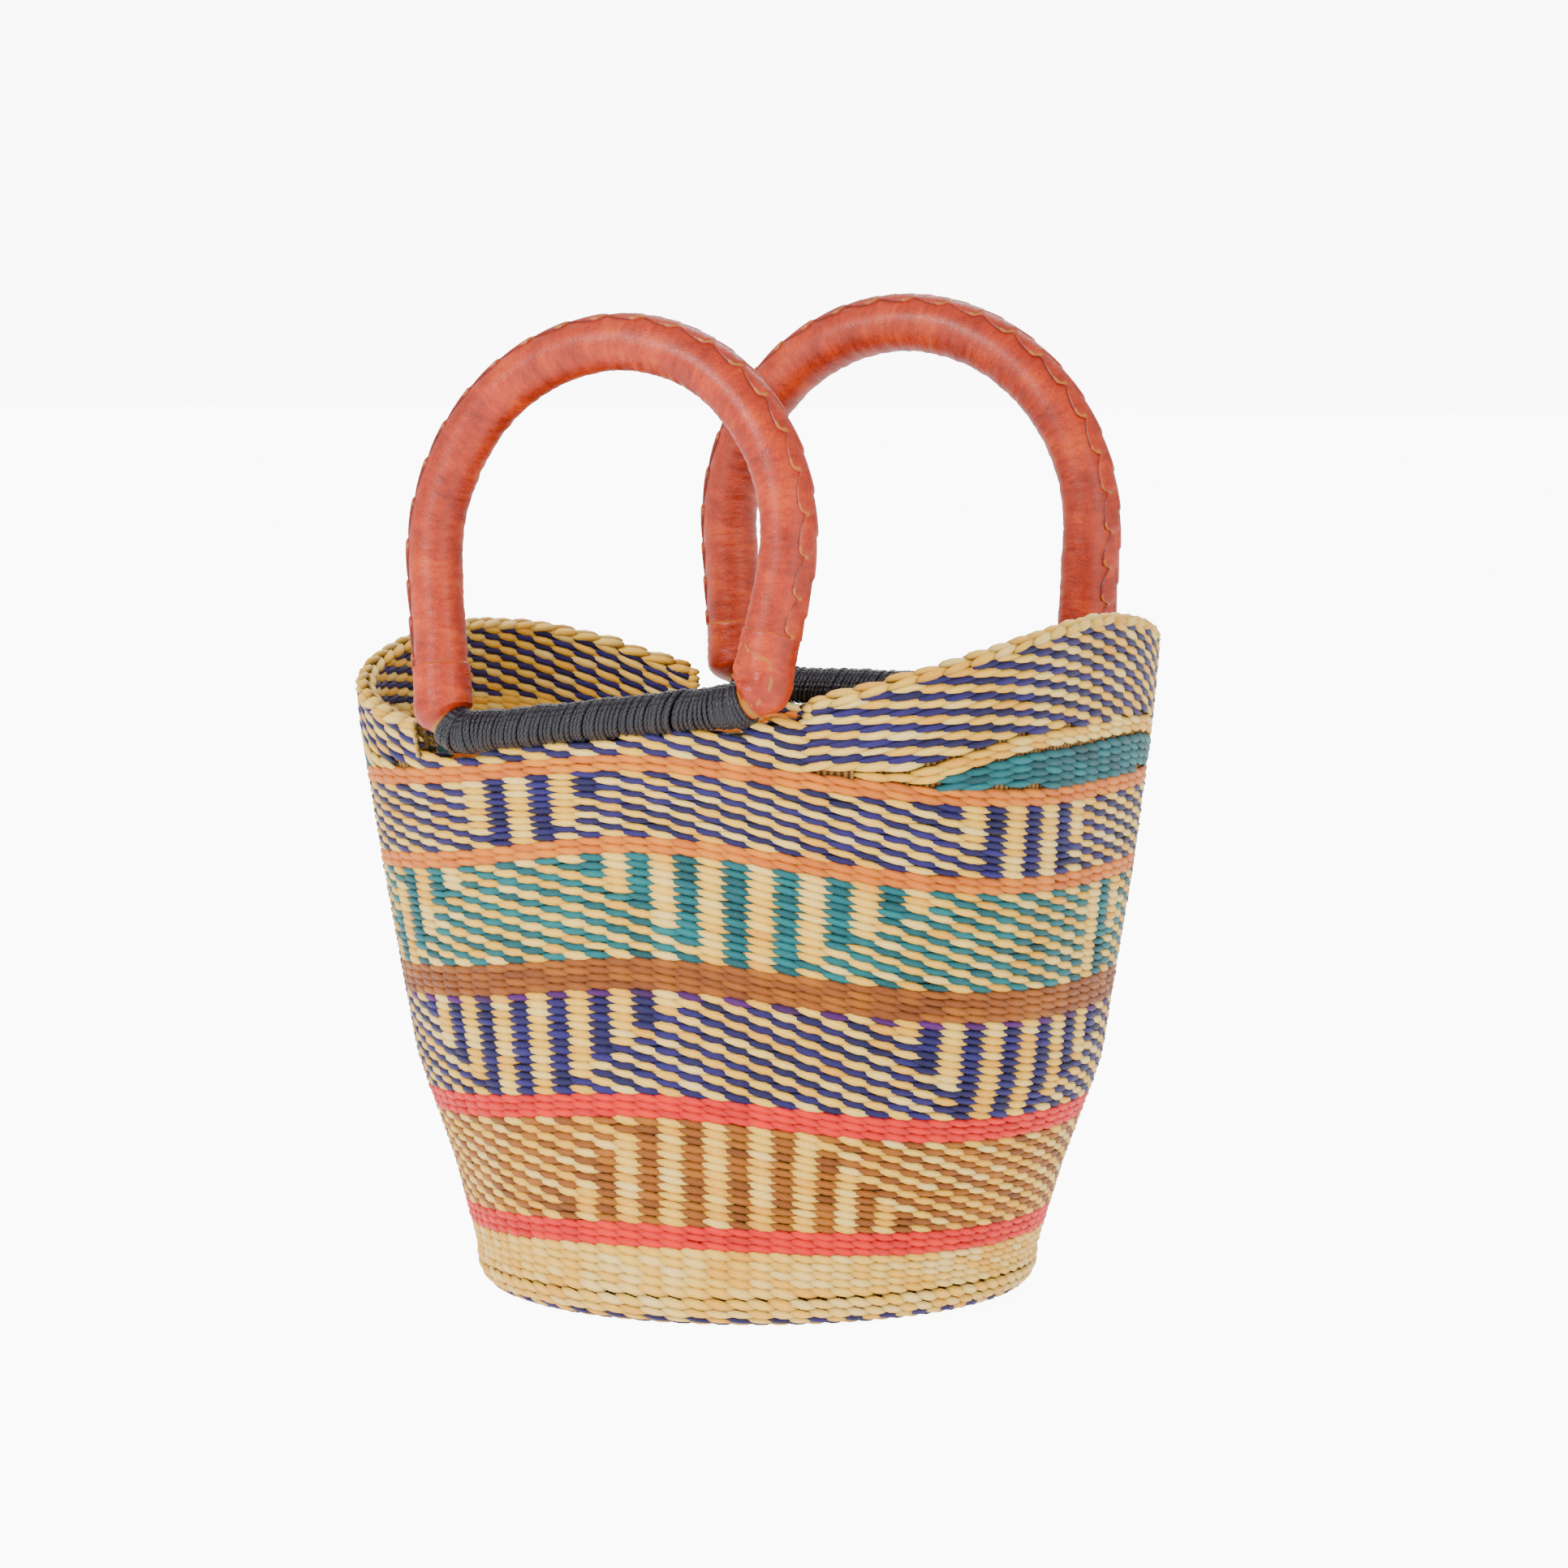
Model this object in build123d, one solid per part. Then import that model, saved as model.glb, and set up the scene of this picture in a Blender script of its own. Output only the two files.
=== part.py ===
from build123d import *
import os
from math import asin, atan, ceil, cos, hypot, pi, radians, sin, tan

# A twined grass shopping basket. Lengths are in millimetres and angles in degrees.
# The origin is at the middle of the base, on the floor. +Z is up, X runs from end to end and -Y is the front.

# ---- wall -------------------------------------------------------------------------------------
LEVELS = (20, 110, 200, 300)  # heights at which the plan of the wall is stated
HALF_LENGTHS = (132.3, 163.4, 173.4, 179.4)  # half of the plan along X at those heights
HALF_WIDTHS = (132.3, 137.0, 144.0, 160.0)  # half of the plan along Y at those heights
ROUND_HEIGHT = 60  # up to here the plan is a plain ellipse
SQUARE_HEIGHT = 260  # from here up its corners are as full as they get
FULLNESS = 0.83  # what is added to the ellipse's exponent of 2 there
WALL = 6.0
CURVE_POINTS = 72  # points on each closed line round the wall
OPEN_SPACING = 2.0  # degrees between the points of an open line

# ---- base -------------------------------------------------------------------------------------
BASE_RADIUS = 112.0
BASE_THICKNESS = 6.0
EDGE_HEIGHT = 14.0
EDGE_FOOT_RADIUS = 119.0

# ---- rows: each line is (height in its valleys, rise at its crests) -----------------------------
WAVE = (0.435, -0.483, -0.097, 0.086, 0.105)  # mean, then cos and sin of twice and four times the angle
EDGE_TOP = (EDGE_HEIGHT, 0)
LOWER_CORAL = ((30.8, 5.2), (41.2, 5.2))
UPPER_CORAL = ((83.2, 12.0), (93.6, 12.0))
RUST = ((138.4, 15.4), (152.4, 15.4))
LOWER_ORANGE = ((197.0, 19.0), (204.2, 19.0))
UPPER_ORANGE = ((237.0, 16.2), (244.2, 16.2))

# ---- wedges of short rows at the two ends ---------------------------------------------------------
TEAL_WEDGE = (42.0, 17.5)  # half of its angle, and its height at the end of the basket
NATURAL_WEDGE = (58.0, 9.0)
WEDGE_TIP = 0.4  # height at which a wedge's points are cut off
ROW_GAP = 0.2  # between a wedge and the rows above or below it

# ---- rim ------------------------------------------------------------------------------------------
RIM_HEIGHT = 285.6
RIM_WAVES = ((1, 6.7, 2.0), (2, 24.4, -4.3), (3, 0.0, 2.6))  # times round, cos rise, sin rise
BORDER_HEIGHT = 4.5
BORDER_PROUD = 0.8  # how far the border stands out of the wall on each side
BORDER_GAP = 1.0  # between a border's end and the end of its rows

# ---- handles --------------------------------------------------------------------------------------
BAR_RADIUS = 6.0
BAR_CLEARANCE = 0.08  # radial clearance of the bar inside its lashing
LASHING_RADIUS = 10.0
LASHING_GAP = 0.7  # between the lashing and the saddle under it, which the wall's flat top needs
TURNING_GAP = 1.0  # round a corner cuff as the handle swings
SADDLE_DEPTH = 8.0  # beside the bar, the saddle stays at least this far below it
SADDLE_SLOPE = 8.0  # length over which the saddle drops from the lashing to the cuffs
SADDLE_LEVEL = 266.0  # rough height of the saddles, which the bars' slopes then correct
SHOULDER_GAP = 0.3  # between the lashing's end and the cuff
LEATHER = 2.0
CUFF = 1.4
CUFF_LENGTH = 15.0
CUFF_FLANGE = 1.5
LEG_START = 17.0  # height above the bar at which the leather sleeve begins
CORNER_RADIUS = 14.0
CORNER_REACH = 17.0  # from a leg's centre line to where the bar's lashing can end
LACING = 1.4
LACING_SPREAD = 50.0  # degrees of the sleeve's girth that the laced strip covers
LOOP_JOIN = 0.99  # share of the loop's radius in each of its two arcs, so that a short straight joins them
NOTCH_GAP = 1.5  # between a cuff and the rim rows beside it


def mix(levels, values, height):
    """Value at a height, in straight lines between the stated levels."""
    if height <= levels[0]:
        return values[0]
    for low, high, first, second in zip(levels, levels[1:], values, values[1:]):
        if height <= high:
            return first + (second - first) * (height - low) / (high - low)
    return values[-1]


def wall_point(angle, height, inset):
    """Point on the wall's outside, or a distance inset from it."""
    half_x = mix(LEVELS, HALF_LENGTHS, height) - inset
    half_y = mix(LEVELS, HALF_WIDTHS, height) - inset
    power = 2 + FULLNESS * mix((ROUND_HEIGHT, SQUARE_HEIGHT), (0, 1), height)
    c, s = cos(radians(angle)), sin(radians(angle))
    reach = (abs(c / half_x) ** power + abs(s / half_y) ** power) ** (-1 / power)
    return Vector(reach * c, reach * s, height)


def row_line(line):
    """Height of a row line as a function of the angle."""
    valley, rise = line
    mean, cos_two, sin_two, cos_four, sin_four = WAVE

    def height(angle):
        two, four = radians(2 * angle), radians(4 * angle)
        wave = mean + cos_two * cos(two) + sin_two * sin(two) + cos_four * cos(four) + sin_four * sin(four)
        return valley + rise * wave

    return height


def wedge(shape, angle):
    """Height of a wedge of short rows at an angle, zero outside it."""
    half_angle, rise = shape
    off_end = min(angle % 180, 180 - angle % 180)
    return rise * max(0.0, 1 - (off_end / half_angle) ** 4) ** 2


def teal_top(angle):
    return row_line(UPPER_ORANGE[1])(angle) + wedge(TEAL_WEDGE, angle)


def natural_top(angle):
    return teal_top(angle) + wedge(NATURAL_WEDGE, angle)


def rim_top(angle):
    waves = (c * cos(radians(n * angle)) + s * sin(radians(n * angle)) for n, c, s in RIM_WAVES)
    return RIM_HEIGHT + sum(waves)


def border_top(angle):
    return rim_top(angle) + BORDER_HEIGHT


def closed_line(height, inset):
    step = 360 / CURVE_POINTS
    points = [wall_point(i * step, height(i * step), inset) for i in range(CURVE_POINTS)]
    return Edge.make_spline(points, periodic=True)


def raised(height, gap):
    return lambda angle: height(angle) + gap


def open_line(height, inset, first, last):
    count = ceil((last - first) / OPEN_SPACING) + 1
    angles = [first + (last - first) * i / (count - 1) for i in range(count)]
    return Edge.make_spline([wall_point(angle, height(angle), inset) for angle in angles])


def between(lines):
    """The four faces that join four lines into a tube of square section."""
    return [Face.make_surface_from_curves(lines[i], lines[(i + 1) % 4]) for i in range(4)]


def band(lower, upper):
    """A ring of the wall between two row lines."""
    lines = [closed_line(lower, 0), closed_line(upper, 0), closed_line(upper, WALL), closed_line(lower, WALL)]
    return Solid(Shell(between(lines)))


def patch(lower, upper, first, last, proud=0.0, inner_upper=None):
    """A stretch of the wall between two row lines, from one angle to another."""
    inside = WALL + proud
    corners = ((lower, -proud), (upper, -proud), (inner_upper or upper, inside), (lower, inside))
    lines = [open_line(height, inset, first, last) for height, inset in corners]
    ends = []
    for at in (0, 1):
        corner_points = [line.position_at(at) for line in lines]
        ends.append(Face(Wire.make_polygon(corner_points, close=True)))
    return Solid(Shell(between(lines) + ends))


def wedge_patch(shape, lower, upper, end_angle):
    half_angle, rise = shape
    reach = half_angle * (1 - (WEDGE_TIP / rise) ** 0.5) ** 0.25
    return patch(raised(lower, ROW_GAP), upper, end_angle - reach, end_angle + reach)


def base_disc():
    return Cylinder(BASE_RADIUS, BASE_THICKNESS, align=(Align.CENTER, Align.CENTER, Align.MIN))


def base_edge_ring():
    """The rows that turn from the base into the wall, round on the outside."""
    outside = wall_point(0, EDGE_HEIGHT, 0).X
    inside = outside - WALL
    profile = [
        Line((BASE_RADIUS, 0), (EDGE_FOOT_RADIUS, 0)),
        TangentArc((EDGE_FOOT_RADIUS, 0), (outside, EDGE_HEIGHT), tangent=(1, 0)),
        Line((outside, EDGE_HEIGHT), (inside, EDGE_HEIGHT)),
        Line((inside, EDGE_HEIGHT), (BASE_RADIUS, BASE_THICKNESS)),
        Line((BASE_RADIUS, BASE_THICKNESS), (BASE_RADIUS, 0)),
    ]
    return revolve(Plane.XZ * make_face(profile), Axis.Z)


class Handle:
    """A closed D of grass bundle: a straight bar lashed to the rim and a leather-covered loop over it."""

    def __init__(self, side, middle, tilt, lean, leg, centre, loop, sleeve):
        self.side = side  # 1 on the front of the basket, -1 on the rear
        self.middle = Vector(*middle)  # middle of the bar
        self.tilt = tilt  # degrees that the bar rises towards +X
        self.leg = leg  # half of the distance between the legs, level with the bar's middle
        self.centre = centre  # height of the loop's centre above the bar
        self.loop = loop  # radius of the loop's centre line
        self.sleeve = sleeve  # outer radius of the leather sleeve
        self.core = sleeve - LEATHER
        self.slope = tan(radians(tilt))
        # a straight leg touches the loop's circle, which settles how far it leans outwards
        touching = asin(loop / hypot(leg, centre))
        self.flare = tan(atan(centre / leg) + touching - pi / 2)
        self.bar_half = leg - CORNER_REACH
        widest_cuff = leg + self.flare * (LEG_START + CUFF_LENGTH) + sleeve + CUFF
        self.notch_half = widest_cuff + NOTCH_GAP
        # plane of the loop, which holds the bar and has its y up the handle, and the bar's own plane across it
        rise, run = sin(radians(tilt)), cos(radians(tilt))
        self.bar_line = Vector(run, 0, rise)
        over_bar = Vector(-rise, 0, run) * cos(radians(lean)) + Vector(0, side * sin(radians(lean)), 0)
        self.plane = Plane(
            origin=self.middle, x_dir=self.bar_line * run - over_bar * rise, z_dir=self.bar_line.cross(over_bar)
        )
        self.bar_plane = Plane(origin=self.middle, x_dir=(0, 1, 0), z_dir=self.bar_line)

    def bar_height(self, x):
        return self.middle.Z + (x - self.middle.X) * self.slope

    def on_leg(self, sign, height):
        """Point of a leg's centre line, in the plane of the loop."""
        return sign * (self.leg + height * self.flare), height

    def foot(self, sign):
        """Where a leg's centre line meets the bar's."""
        x = sign * self.leg / (1 - sign * self.flare * self.slope)
        return x, x * self.slope

    def bar_end(self, sign):
        x = sign * self.bar_half * cos(radians(self.tilt))
        return x, x * self.slope

    def sleeve_start(self, sign, further=0.0):
        return self.on_leg(sign, self.foot(sign)[1] + LEG_START + further)

    def over_the_top(self, left, right):
        """Corners of the path from the left points over the loop to the right points."""
        top = self.centre + self.loop
        return [*left, self.on_leg(-1, top), self.on_leg(1, top), *right]

    def swept(self, section, corners, radii):
        """Sweep a section, whose x points out of the loop, along straight runs and round corners."""
        path = self.plane * FilletPolyline(*corners, radius=radii)
        direction = path % 0
        outwards = self.plane.z_dir.cross(direction)
        return sweep(Plane(origin=path @ 0, x_dir=outwards, z_dir=direction) * section, path)

    def grass_core(self):
        corners = self.over_the_top([self.bar_end(-1), self.foot(-1)], [self.foot(1), self.bar_end(1)])
        round_loop = self.loop * LOOP_JOIN
        loop = self.swept(Circle(self.core), corners, [CORNER_RADIUS, round_loop, round_loop, CORNER_RADIUS])
        return loop + self.bar_plane * Cylinder(BAR_RADIUS, 2 * self.bar_half)

    def leather_sleeve(self):
        corners = self.over_the_top([self.sleeve_start(-1)], [self.sleeve_start(1)])
        return self.swept(tube_section(self.sleeve, self.core), corners, self.loop * LOOP_JOIN)

    def laced_strip(self):
        corners = self.over_the_top([self.sleeve_start(-1, CUFF_LENGTH)], [self.sleeve_start(1, CUFF_LENGTH)])
        section = strip_section(self.sleeve + LACING, self.sleeve, LACING_SPREAD)
        return self.swept(section, corners, self.loop * LOOP_JOIN)

    def cuff(self, sign):
        """Elbow of leather over the corner, with a flange and a collar over the end of the sleeve."""
        start, end = self.sleeve_start(sign), self.sleeve_start(sign, CUFF_LENGTH)
        below = self.sleeve_start(sign, -CUFF_FLANGE)
        elbow = self.swept(
            tube_section(self.core + CUFF, self.core), [self.bar_end(sign), self.foot(sign), below], CORNER_RADIUS
        )
        flange = self.straight(tube_section(self.sleeve + CUFF, self.core), below, start)
        collar = self.straight(tube_section(self.sleeve + CUFF, self.sleeve), start, end)
        return elbow + flange + collar

    def straight(self, section, start, end):
        """Extrude a section from one point of the loop's plane to another."""
        first, last = (self.plane.from_local_coords(Vector(*point)) for point in (start, end))
        run = last - first
        return extrude(Plane(origin=first, z_dir=run.normalized()) * section, run.length)

    def lashing(self):
        """Black cord wound round the bar and bound to the rim."""
        length = 2 * (self.bar_half - SHOULDER_GAP)
        bore = Cylinder(BAR_RADIUS + BAR_CLEARANCE, length)
        return self.bar_plane * (Cylinder(LASHING_RADIUS, length) - bore)

    def saddle(self, inset):
        """Height of the wall's top under the lashing and cuffs, along its outside or a distance inset."""

        def height(angle):
            x = wall_point(angle, SADDLE_LEVEL, inset).X
            point = wall_point(angle, self.bar_height(x) - LASHING_RADIUS, inset)
            along = abs(point.X - self.middle.X)
            share = min(max((along - self.bar_half) / SADDLE_SLOPE + 1, 0), 1)
            cuff_groove = self.core + CUFF + TURNING_GAP
            groove = LASHING_RADIUS + LASHING_GAP
            groove += (cuff_groove - groove) * share**2 * (3 - 2 * share)
            off = point.Y - self.middle.Y
            return self.bar_height(point.X) - max(groove**2 - off**2, SADDLE_DEPTH**2) ** 0.5

        return height

    def beside(self, end):
        """Angle at which the rim's rows begin beside the handle's cuff."""
        return angle_at(self.middle.X + end * self.notch_half, self.side > 0)


def tube_section(outer, inner):
    return Circle(outer) - Circle(inner)


def strip_section(outer, inner, spread):
    """A slice of a ring, centred on its x axis."""
    arcs = [CenterArc((0, 0), radius, -spread / 2, spread) for radius in (outer, inner)]
    ends = [Line(arcs[0] @ at, arcs[1] @ at) for at in (0, 1)]
    return make_face([*arcs, *ends])


def angle_at(x, front):
    """Angle at which the rim's outside has a given x, on the front or the back of the basket."""
    low, high = 0.0, 180.0
    for _ in range(40):
        middle = (low + high) / 2
        if wall_point(middle, RIM_HEIGHT, 0).X > x:
            low = middle
        else:
            high = middle
    return -low if front else low


FRONT = Handle(side=1, middle=(0.5, -153, 276.3), tilt=6.8, lean=8, leg=80.5, centre=78, loop=91.4, sleeve=12.8)
REAR = Handle(side=-1, middle=(2, 153, 273), tilt=0, lean=0, leg=95, centre=80.5, loop=100, sleeve=14.0)


def end_rows(end):
    """Rim rows round one end of the basket, from one handle to the other."""
    first, last = end_angles(end)
    return patch(raised(natural_top, ROW_GAP), rim_top, first, last)


def end_angles(end, gap=0.0):
    front, rear = (angle_at(h.middle.X + end * (h.notch_half + gap), h.side > 0) for h in (FRONT, REAR))
    return (front, rear) if end > 0 else (rear, front + 360)


def rim_border(end):
    """Plaited edge along the end rows."""
    first, last = end_angles(end, BORDER_GAP)
    return patch(rim_top, border_top, first, last, BORDER_PROUD)


def handle_rows(handle):
    """The few rows under a handle, with a saddle for its lashing."""
    ends = sorted(handle.beside(end) for end in (-1, 1))
    return patch(raised(natural_top, ROW_GAP), handle.saddle(0), *ends, inner_upper=handle.saddle(WALL))


nodes = {
    "base_disc": base_disc(),
    "base_edge_ring": base_edge_ring(),
    "natural_foot_band": band(row_line(EDGE_TOP), row_line(LOWER_CORAL[0])),
    "lower_coral_band": band(*map(row_line, LOWER_CORAL)),
    "brown_pattern_band": band(row_line(LOWER_CORAL[1]), row_line(UPPER_CORAL[0])),
    "upper_coral_band": band(*map(row_line, UPPER_CORAL)),
    "lower_purple_pattern_band": band(row_line(UPPER_CORAL[1]), row_line(RUST[0])),
    "rust_band": band(*map(row_line, RUST)),
    "teal_pattern_band": band(row_line(RUST[1]), row_line(LOWER_ORANGE[0])),
    "lower_orange_band": band(*map(row_line, LOWER_ORANGE)),
    "upper_purple_pattern_band": band(row_line(LOWER_ORANGE[1]), row_line(UPPER_ORANGE[0])),
    "upper_orange_band": band(*map(row_line, UPPER_ORANGE)),
    "front_rim_rows": handle_rows(FRONT),
    "rear_rim_rows": handle_rows(REAR),
}
for side_name, end_angle, end in (("right", 0, 1), ("left", 180, -1)):
    nodes[f"{side_name}_teal_wedge"] = wedge_patch(TEAL_WEDGE, row_line(UPPER_ORANGE[1]), teal_top, end_angle)
    nodes[f"{side_name}_natural_wedge"] = wedge_patch(NATURAL_WEDGE, teal_top, natural_top, end_angle)
    nodes[f"{side_name}_rim_rows"] = end_rows(end)
    nodes[f"{side_name}_rim_border"] = rim_border(end)
for handle_name, handle in (("front", FRONT), ("rear", REAR)):
    nodes[f"{handle_name}_rim_lashing"] = handle.lashing()
    nodes[f"{handle_name}_handle_core"] = handle.grass_core()
    nodes[f"{handle_name}_handle_leather"] = handle.leather_sleeve()
    nodes[f"{handle_name}_handle_lacing"] = handle.laced_strip()
    nodes[f"{handle_name}_left_cuff"] = handle.cuff(-1)
    nodes[f"{handle_name}_right_cuff"] = handle.cuff(1)

os.makedirs("parts", exist_ok=True)
for name, shape in nodes.items():
    export_step(shape, f"parts/{name}.step")
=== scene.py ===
import math

import bpy
import numpy as np
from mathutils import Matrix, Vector, noise


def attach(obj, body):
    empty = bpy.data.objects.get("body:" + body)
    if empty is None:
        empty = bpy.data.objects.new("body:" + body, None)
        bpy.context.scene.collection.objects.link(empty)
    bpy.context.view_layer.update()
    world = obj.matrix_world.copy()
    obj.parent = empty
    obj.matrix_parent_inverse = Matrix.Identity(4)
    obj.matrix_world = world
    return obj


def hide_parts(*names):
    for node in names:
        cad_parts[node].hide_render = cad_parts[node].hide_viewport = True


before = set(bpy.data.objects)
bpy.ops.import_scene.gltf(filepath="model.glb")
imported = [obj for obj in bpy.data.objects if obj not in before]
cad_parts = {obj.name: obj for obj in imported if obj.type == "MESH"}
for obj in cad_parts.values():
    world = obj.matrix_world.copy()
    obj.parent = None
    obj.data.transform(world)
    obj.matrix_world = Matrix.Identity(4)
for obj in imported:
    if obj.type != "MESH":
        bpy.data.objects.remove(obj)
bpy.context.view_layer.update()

# ---- camera, lights and floor --------------------------------------------------------------------
# The camera stands a little above the rim, to the right of the front handle, with a long lens.
# A wide soft key from the front left, a weaker fill and a bright pale room keep the shadows faint.


def placed(name, data):
    """Add an object to the scene."""
    made = bpy.data.objects.new(name, data)
    bpy.context.scene.collection.objects.link(made)
    return made


camera = placed("studio_camera", bpy.data.cameras.new("studio_camera"))
camera.data.lens = 125.97
camera.data.sensor_width = 36.0
camera.data.clip_end = 50
camera_distance = 2.6
turn, rise = math.radians(28), math.radians(4.63)
towards = Vector((math.sin(turn) * math.cos(rise), -math.cos(turn) * math.cos(rise), math.sin(rise)))
across = Vector((math.cos(turn), math.sin(turn), 0))
target = Vector((0, 0, 0.150)) + towards.cross(across) * 0.0862 + across * 0.0125
camera.location = target + towards * camera_distance
camera.rotation_euler = towards.to_track_quat("Z", "Y").to_euler()
bpy.context.scene.camera = camera


def soft_light(name, place, size, power, tone):
    light = placed(name, bpy.data.lights.new(name, "AREA"))
    light.data.shape, light.data.size, light.data.energy = "DISK", size, power
    light.data.color = tone
    light.location = place
    light.rotation_euler = (Vector(place) - Vector((0, 0, 0.2))).to_track_quat("Z", "Y").to_euler()


soft_light("key_light", (-0.9, -2.5, 1.9), 1.0, 86, (1.0, 0.98, 0.95))
soft_light("fill_light", (2.6, -1.2, 1.0), 1.4, 28, (1.0, 1.0, 1.0))
soft_light("back_light", (-0.6, 2.4, 1.9), 1.4, 22, (1.0, 0.99, 0.97))

# the room and the floor look white to the camera, as a lit sweep does, but light the basket less
room = bpy.data.worlds.new("pale_room")
room.use_nodes = True
room_tree = room.node_tree
lit_wall, seen_wall = room_tree.nodes["Background"], room_tree.nodes.new("ShaderNodeBackground")
lit_wall.inputs["Color"].default_value = (1, 1, 1, 1)
lit_wall.inputs["Strength"].default_value = 0.9
seen_wall.inputs["Strength"].default_value = 12.0
seen_or_lit = room_tree.nodes.new("ShaderNodeMixShader")
room_tree.links.new(
    room_tree.nodes.new("ShaderNodeLightPath").outputs["Is Camera Ray"], seen_or_lit.inputs[0]
)
room_tree.links.new(lit_wall.outputs[0], seen_or_lit.inputs[1])
room_tree.links.new(seen_wall.outputs[0], seen_or_lit.inputs[2])
room_tree.links.new(seen_or_lit.outputs[0], room_tree.nodes["World Output"].inputs[0])
bpy.context.scene.world = room

floor_half, floor_level = 30, -0.0006
floor_mesh = bpy.data.meshes.new("studio_floor")
floor_corners = [
    (x * floor_half, y * floor_half, floor_level) for x, y in ((-1, -1), (1, -1), (1, 1), (-1, 1))
]
floor_mesh.from_pydata(floor_corners, [], [(0, 1, 2, 3)])
floor = placed("studio_floor", floor_mesh)
floor_paint = bpy.data.materials.new("pale_floor")
floor_paint.use_nodes = True
floor_tree = floor_paint.node_tree
floor_shader = floor_tree.nodes["Principled BSDF"]
floor_shader.inputs["Base Color"].default_value = (0.92, 0.92, 0.92, 1)
floor_shader.inputs["Roughness"].default_value = 0.9
floor_shader.inputs["Emission Color"].default_value = (1, 1, 1, 1)
seen_floor = floor_tree.nodes.new("ShaderNodeMapRange")
seen_floor.inputs["To Min"].default_value, seen_floor.inputs["To Max"].default_value = 0.9, 9.5
floor_sight = floor_tree.nodes.new("ShaderNodeLightPath").outputs["Is Camera Ray"]
floor_tree.links.new(floor_sight, seen_floor.inputs["Value"])
floor_tree.links.new(seen_floor.outputs["Result"], floor_shader.inputs["Emission Strength"])
floor_mesh.materials.append(floor_paint)

# ---- wall: its outline and the heights of its rows -----------------------------------------------
# The wall is a round foot that grows into a long oval mouth, with full corners near the top.
# Its rows ride up and down in waves, and the rim has a peak at each end. Heights are in millimetres.
COLUMNS = 88
ROW = 3.5
MM = 0.001
LEVELS = (20, 110, 200, 300)  # heights at which the plan of the wall is stated
HALF_LENGTHS = (132.3, 163.4, 173.4, 179.4)
HALF_WIDTHS = (132.3, 137.0, 144.0, 160.0)


def wall(angle, height, inset=0.0):
    """Points on the wall's outside, or a distance inset from it, as rows of x, y and z."""
    angle, height = np.broadcast_arrays(np.asarray(angle, float), np.asarray(height, float))
    half_x = np.interp(height, LEVELS, HALF_LENGTHS) - inset
    half_y = np.interp(height, LEVELS, HALF_WIDTHS) - inset
    power = 2 + 0.83 * np.interp(height, (60, 260), (0, 1))
    c, s = np.cos(np.radians(angle)), np.sin(np.radians(angle))
    reach = (np.abs(c / half_x) ** power + np.abs(s / half_y) ** power) ** (-1 / power)
    return np.stack([reach * c, reach * s, height], -1)


def waves(angle, *parts):
    """Waves round the wall, each given as how often it goes round, and its cosine and sine rise."""
    a = np.radians(np.asarray(angle, float))
    return sum(along * np.cos(times * a) + across * np.sin(times * a) for times, along, across in parts)


def apart(angle, other):
    """Degrees between two angles round the wall, from -180 to 180."""
    return (angle - other + 180) % 360 - 180


def unit(vector):
    return vector / np.linalg.norm(vector)


def row_line(valley, crest_rise):
    return lambda angle: valley + crest_rise * (0.435 + waves(angle, (2, -0.483, -0.097), (4, 0.086, 0.105)))


def wedge_height(angle, half_angle, crest):
    off_end = np.minimum(np.mod(angle, 180), 180 - np.mod(angle, 180))
    return crest * np.maximum(0, 1 - (off_end / half_angle) ** 4) ** 2


orange_top = row_line(244.2, 16.2)


def teal_top(angle):
    return orange_top(angle) + wedge_height(angle, 42, 17.5)


def natural_top(angle):
    return teal_top(angle) + wedge_height(angle, 58, 9.0)


def rim_top(angle):
    """Top of the rim. It dips a little where it comes down to the rear handle's left leg."""
    dip = 6.5 * np.exp(-((apart(np.asarray(angle, float), 123) / 17) ** 2))
    return 285.6 + waves(angle, (1, 6.7, 2.0), (2, 24.4, -4.3), (3, 0.0, 2.6)) - dip


# the handles' lines are needed here, because the rim is notched and hollowed under them
LEATHER, CUFF, CUFF_FLANGE, CUFF_TOP = 2.0, 1.4, 1.5, 32.0
CORNER_REACH = 17.0  # how far inside the leg's line the lashed bar ends
LASHED = 10.7  # radius of the lashing and the gap round it
TURNING_GAP = 1.0
SADDLE_LEVEL, SADDLE_SLOPE, SADDLE_DEPTH = 266.0, 8.0, 8.0
HANDLES = {
    "front": dict(
        side=1, middle=(0.5, -153, 276.3), tilt=6.8, lean=8,
        leg=80.5, centre=78, loop=91.4, sleeve=12.8, wound=13.5,
    ),
    "rear": dict(
        side=-1, middle=(2, 153, 273), tilt=0.0, lean=0,
        leg=95, centre=80.5, loop=100, sleeve=14.0, wound=14.5,
    ),
}
for handle in HANDLES.values():
    leg, centre, loop = handle["leg"], handle["centre"], handle["loop"]
    leg_turn = math.atan(centre / leg) + math.asin(loop / math.hypot(leg, centre)) - math.pi / 2
    handle["slope"] = math.tan(math.radians(handle["tilt"]))
    handle["flare"] = math.tan(leg_turn)
    handle["bar_half"] = leg - CORNER_REACH
    handle["notch_half"] = leg + handle["flare"] * CUFF_TOP + handle["sleeve"] + CUFF + CUFF_FLANGE


def beside(handle, place):
    """Whether a place on the wall is on the handle's side of the basket."""
    return np.sign(place[..., 1]) == np.sign(handle["middle"][1])


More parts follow.
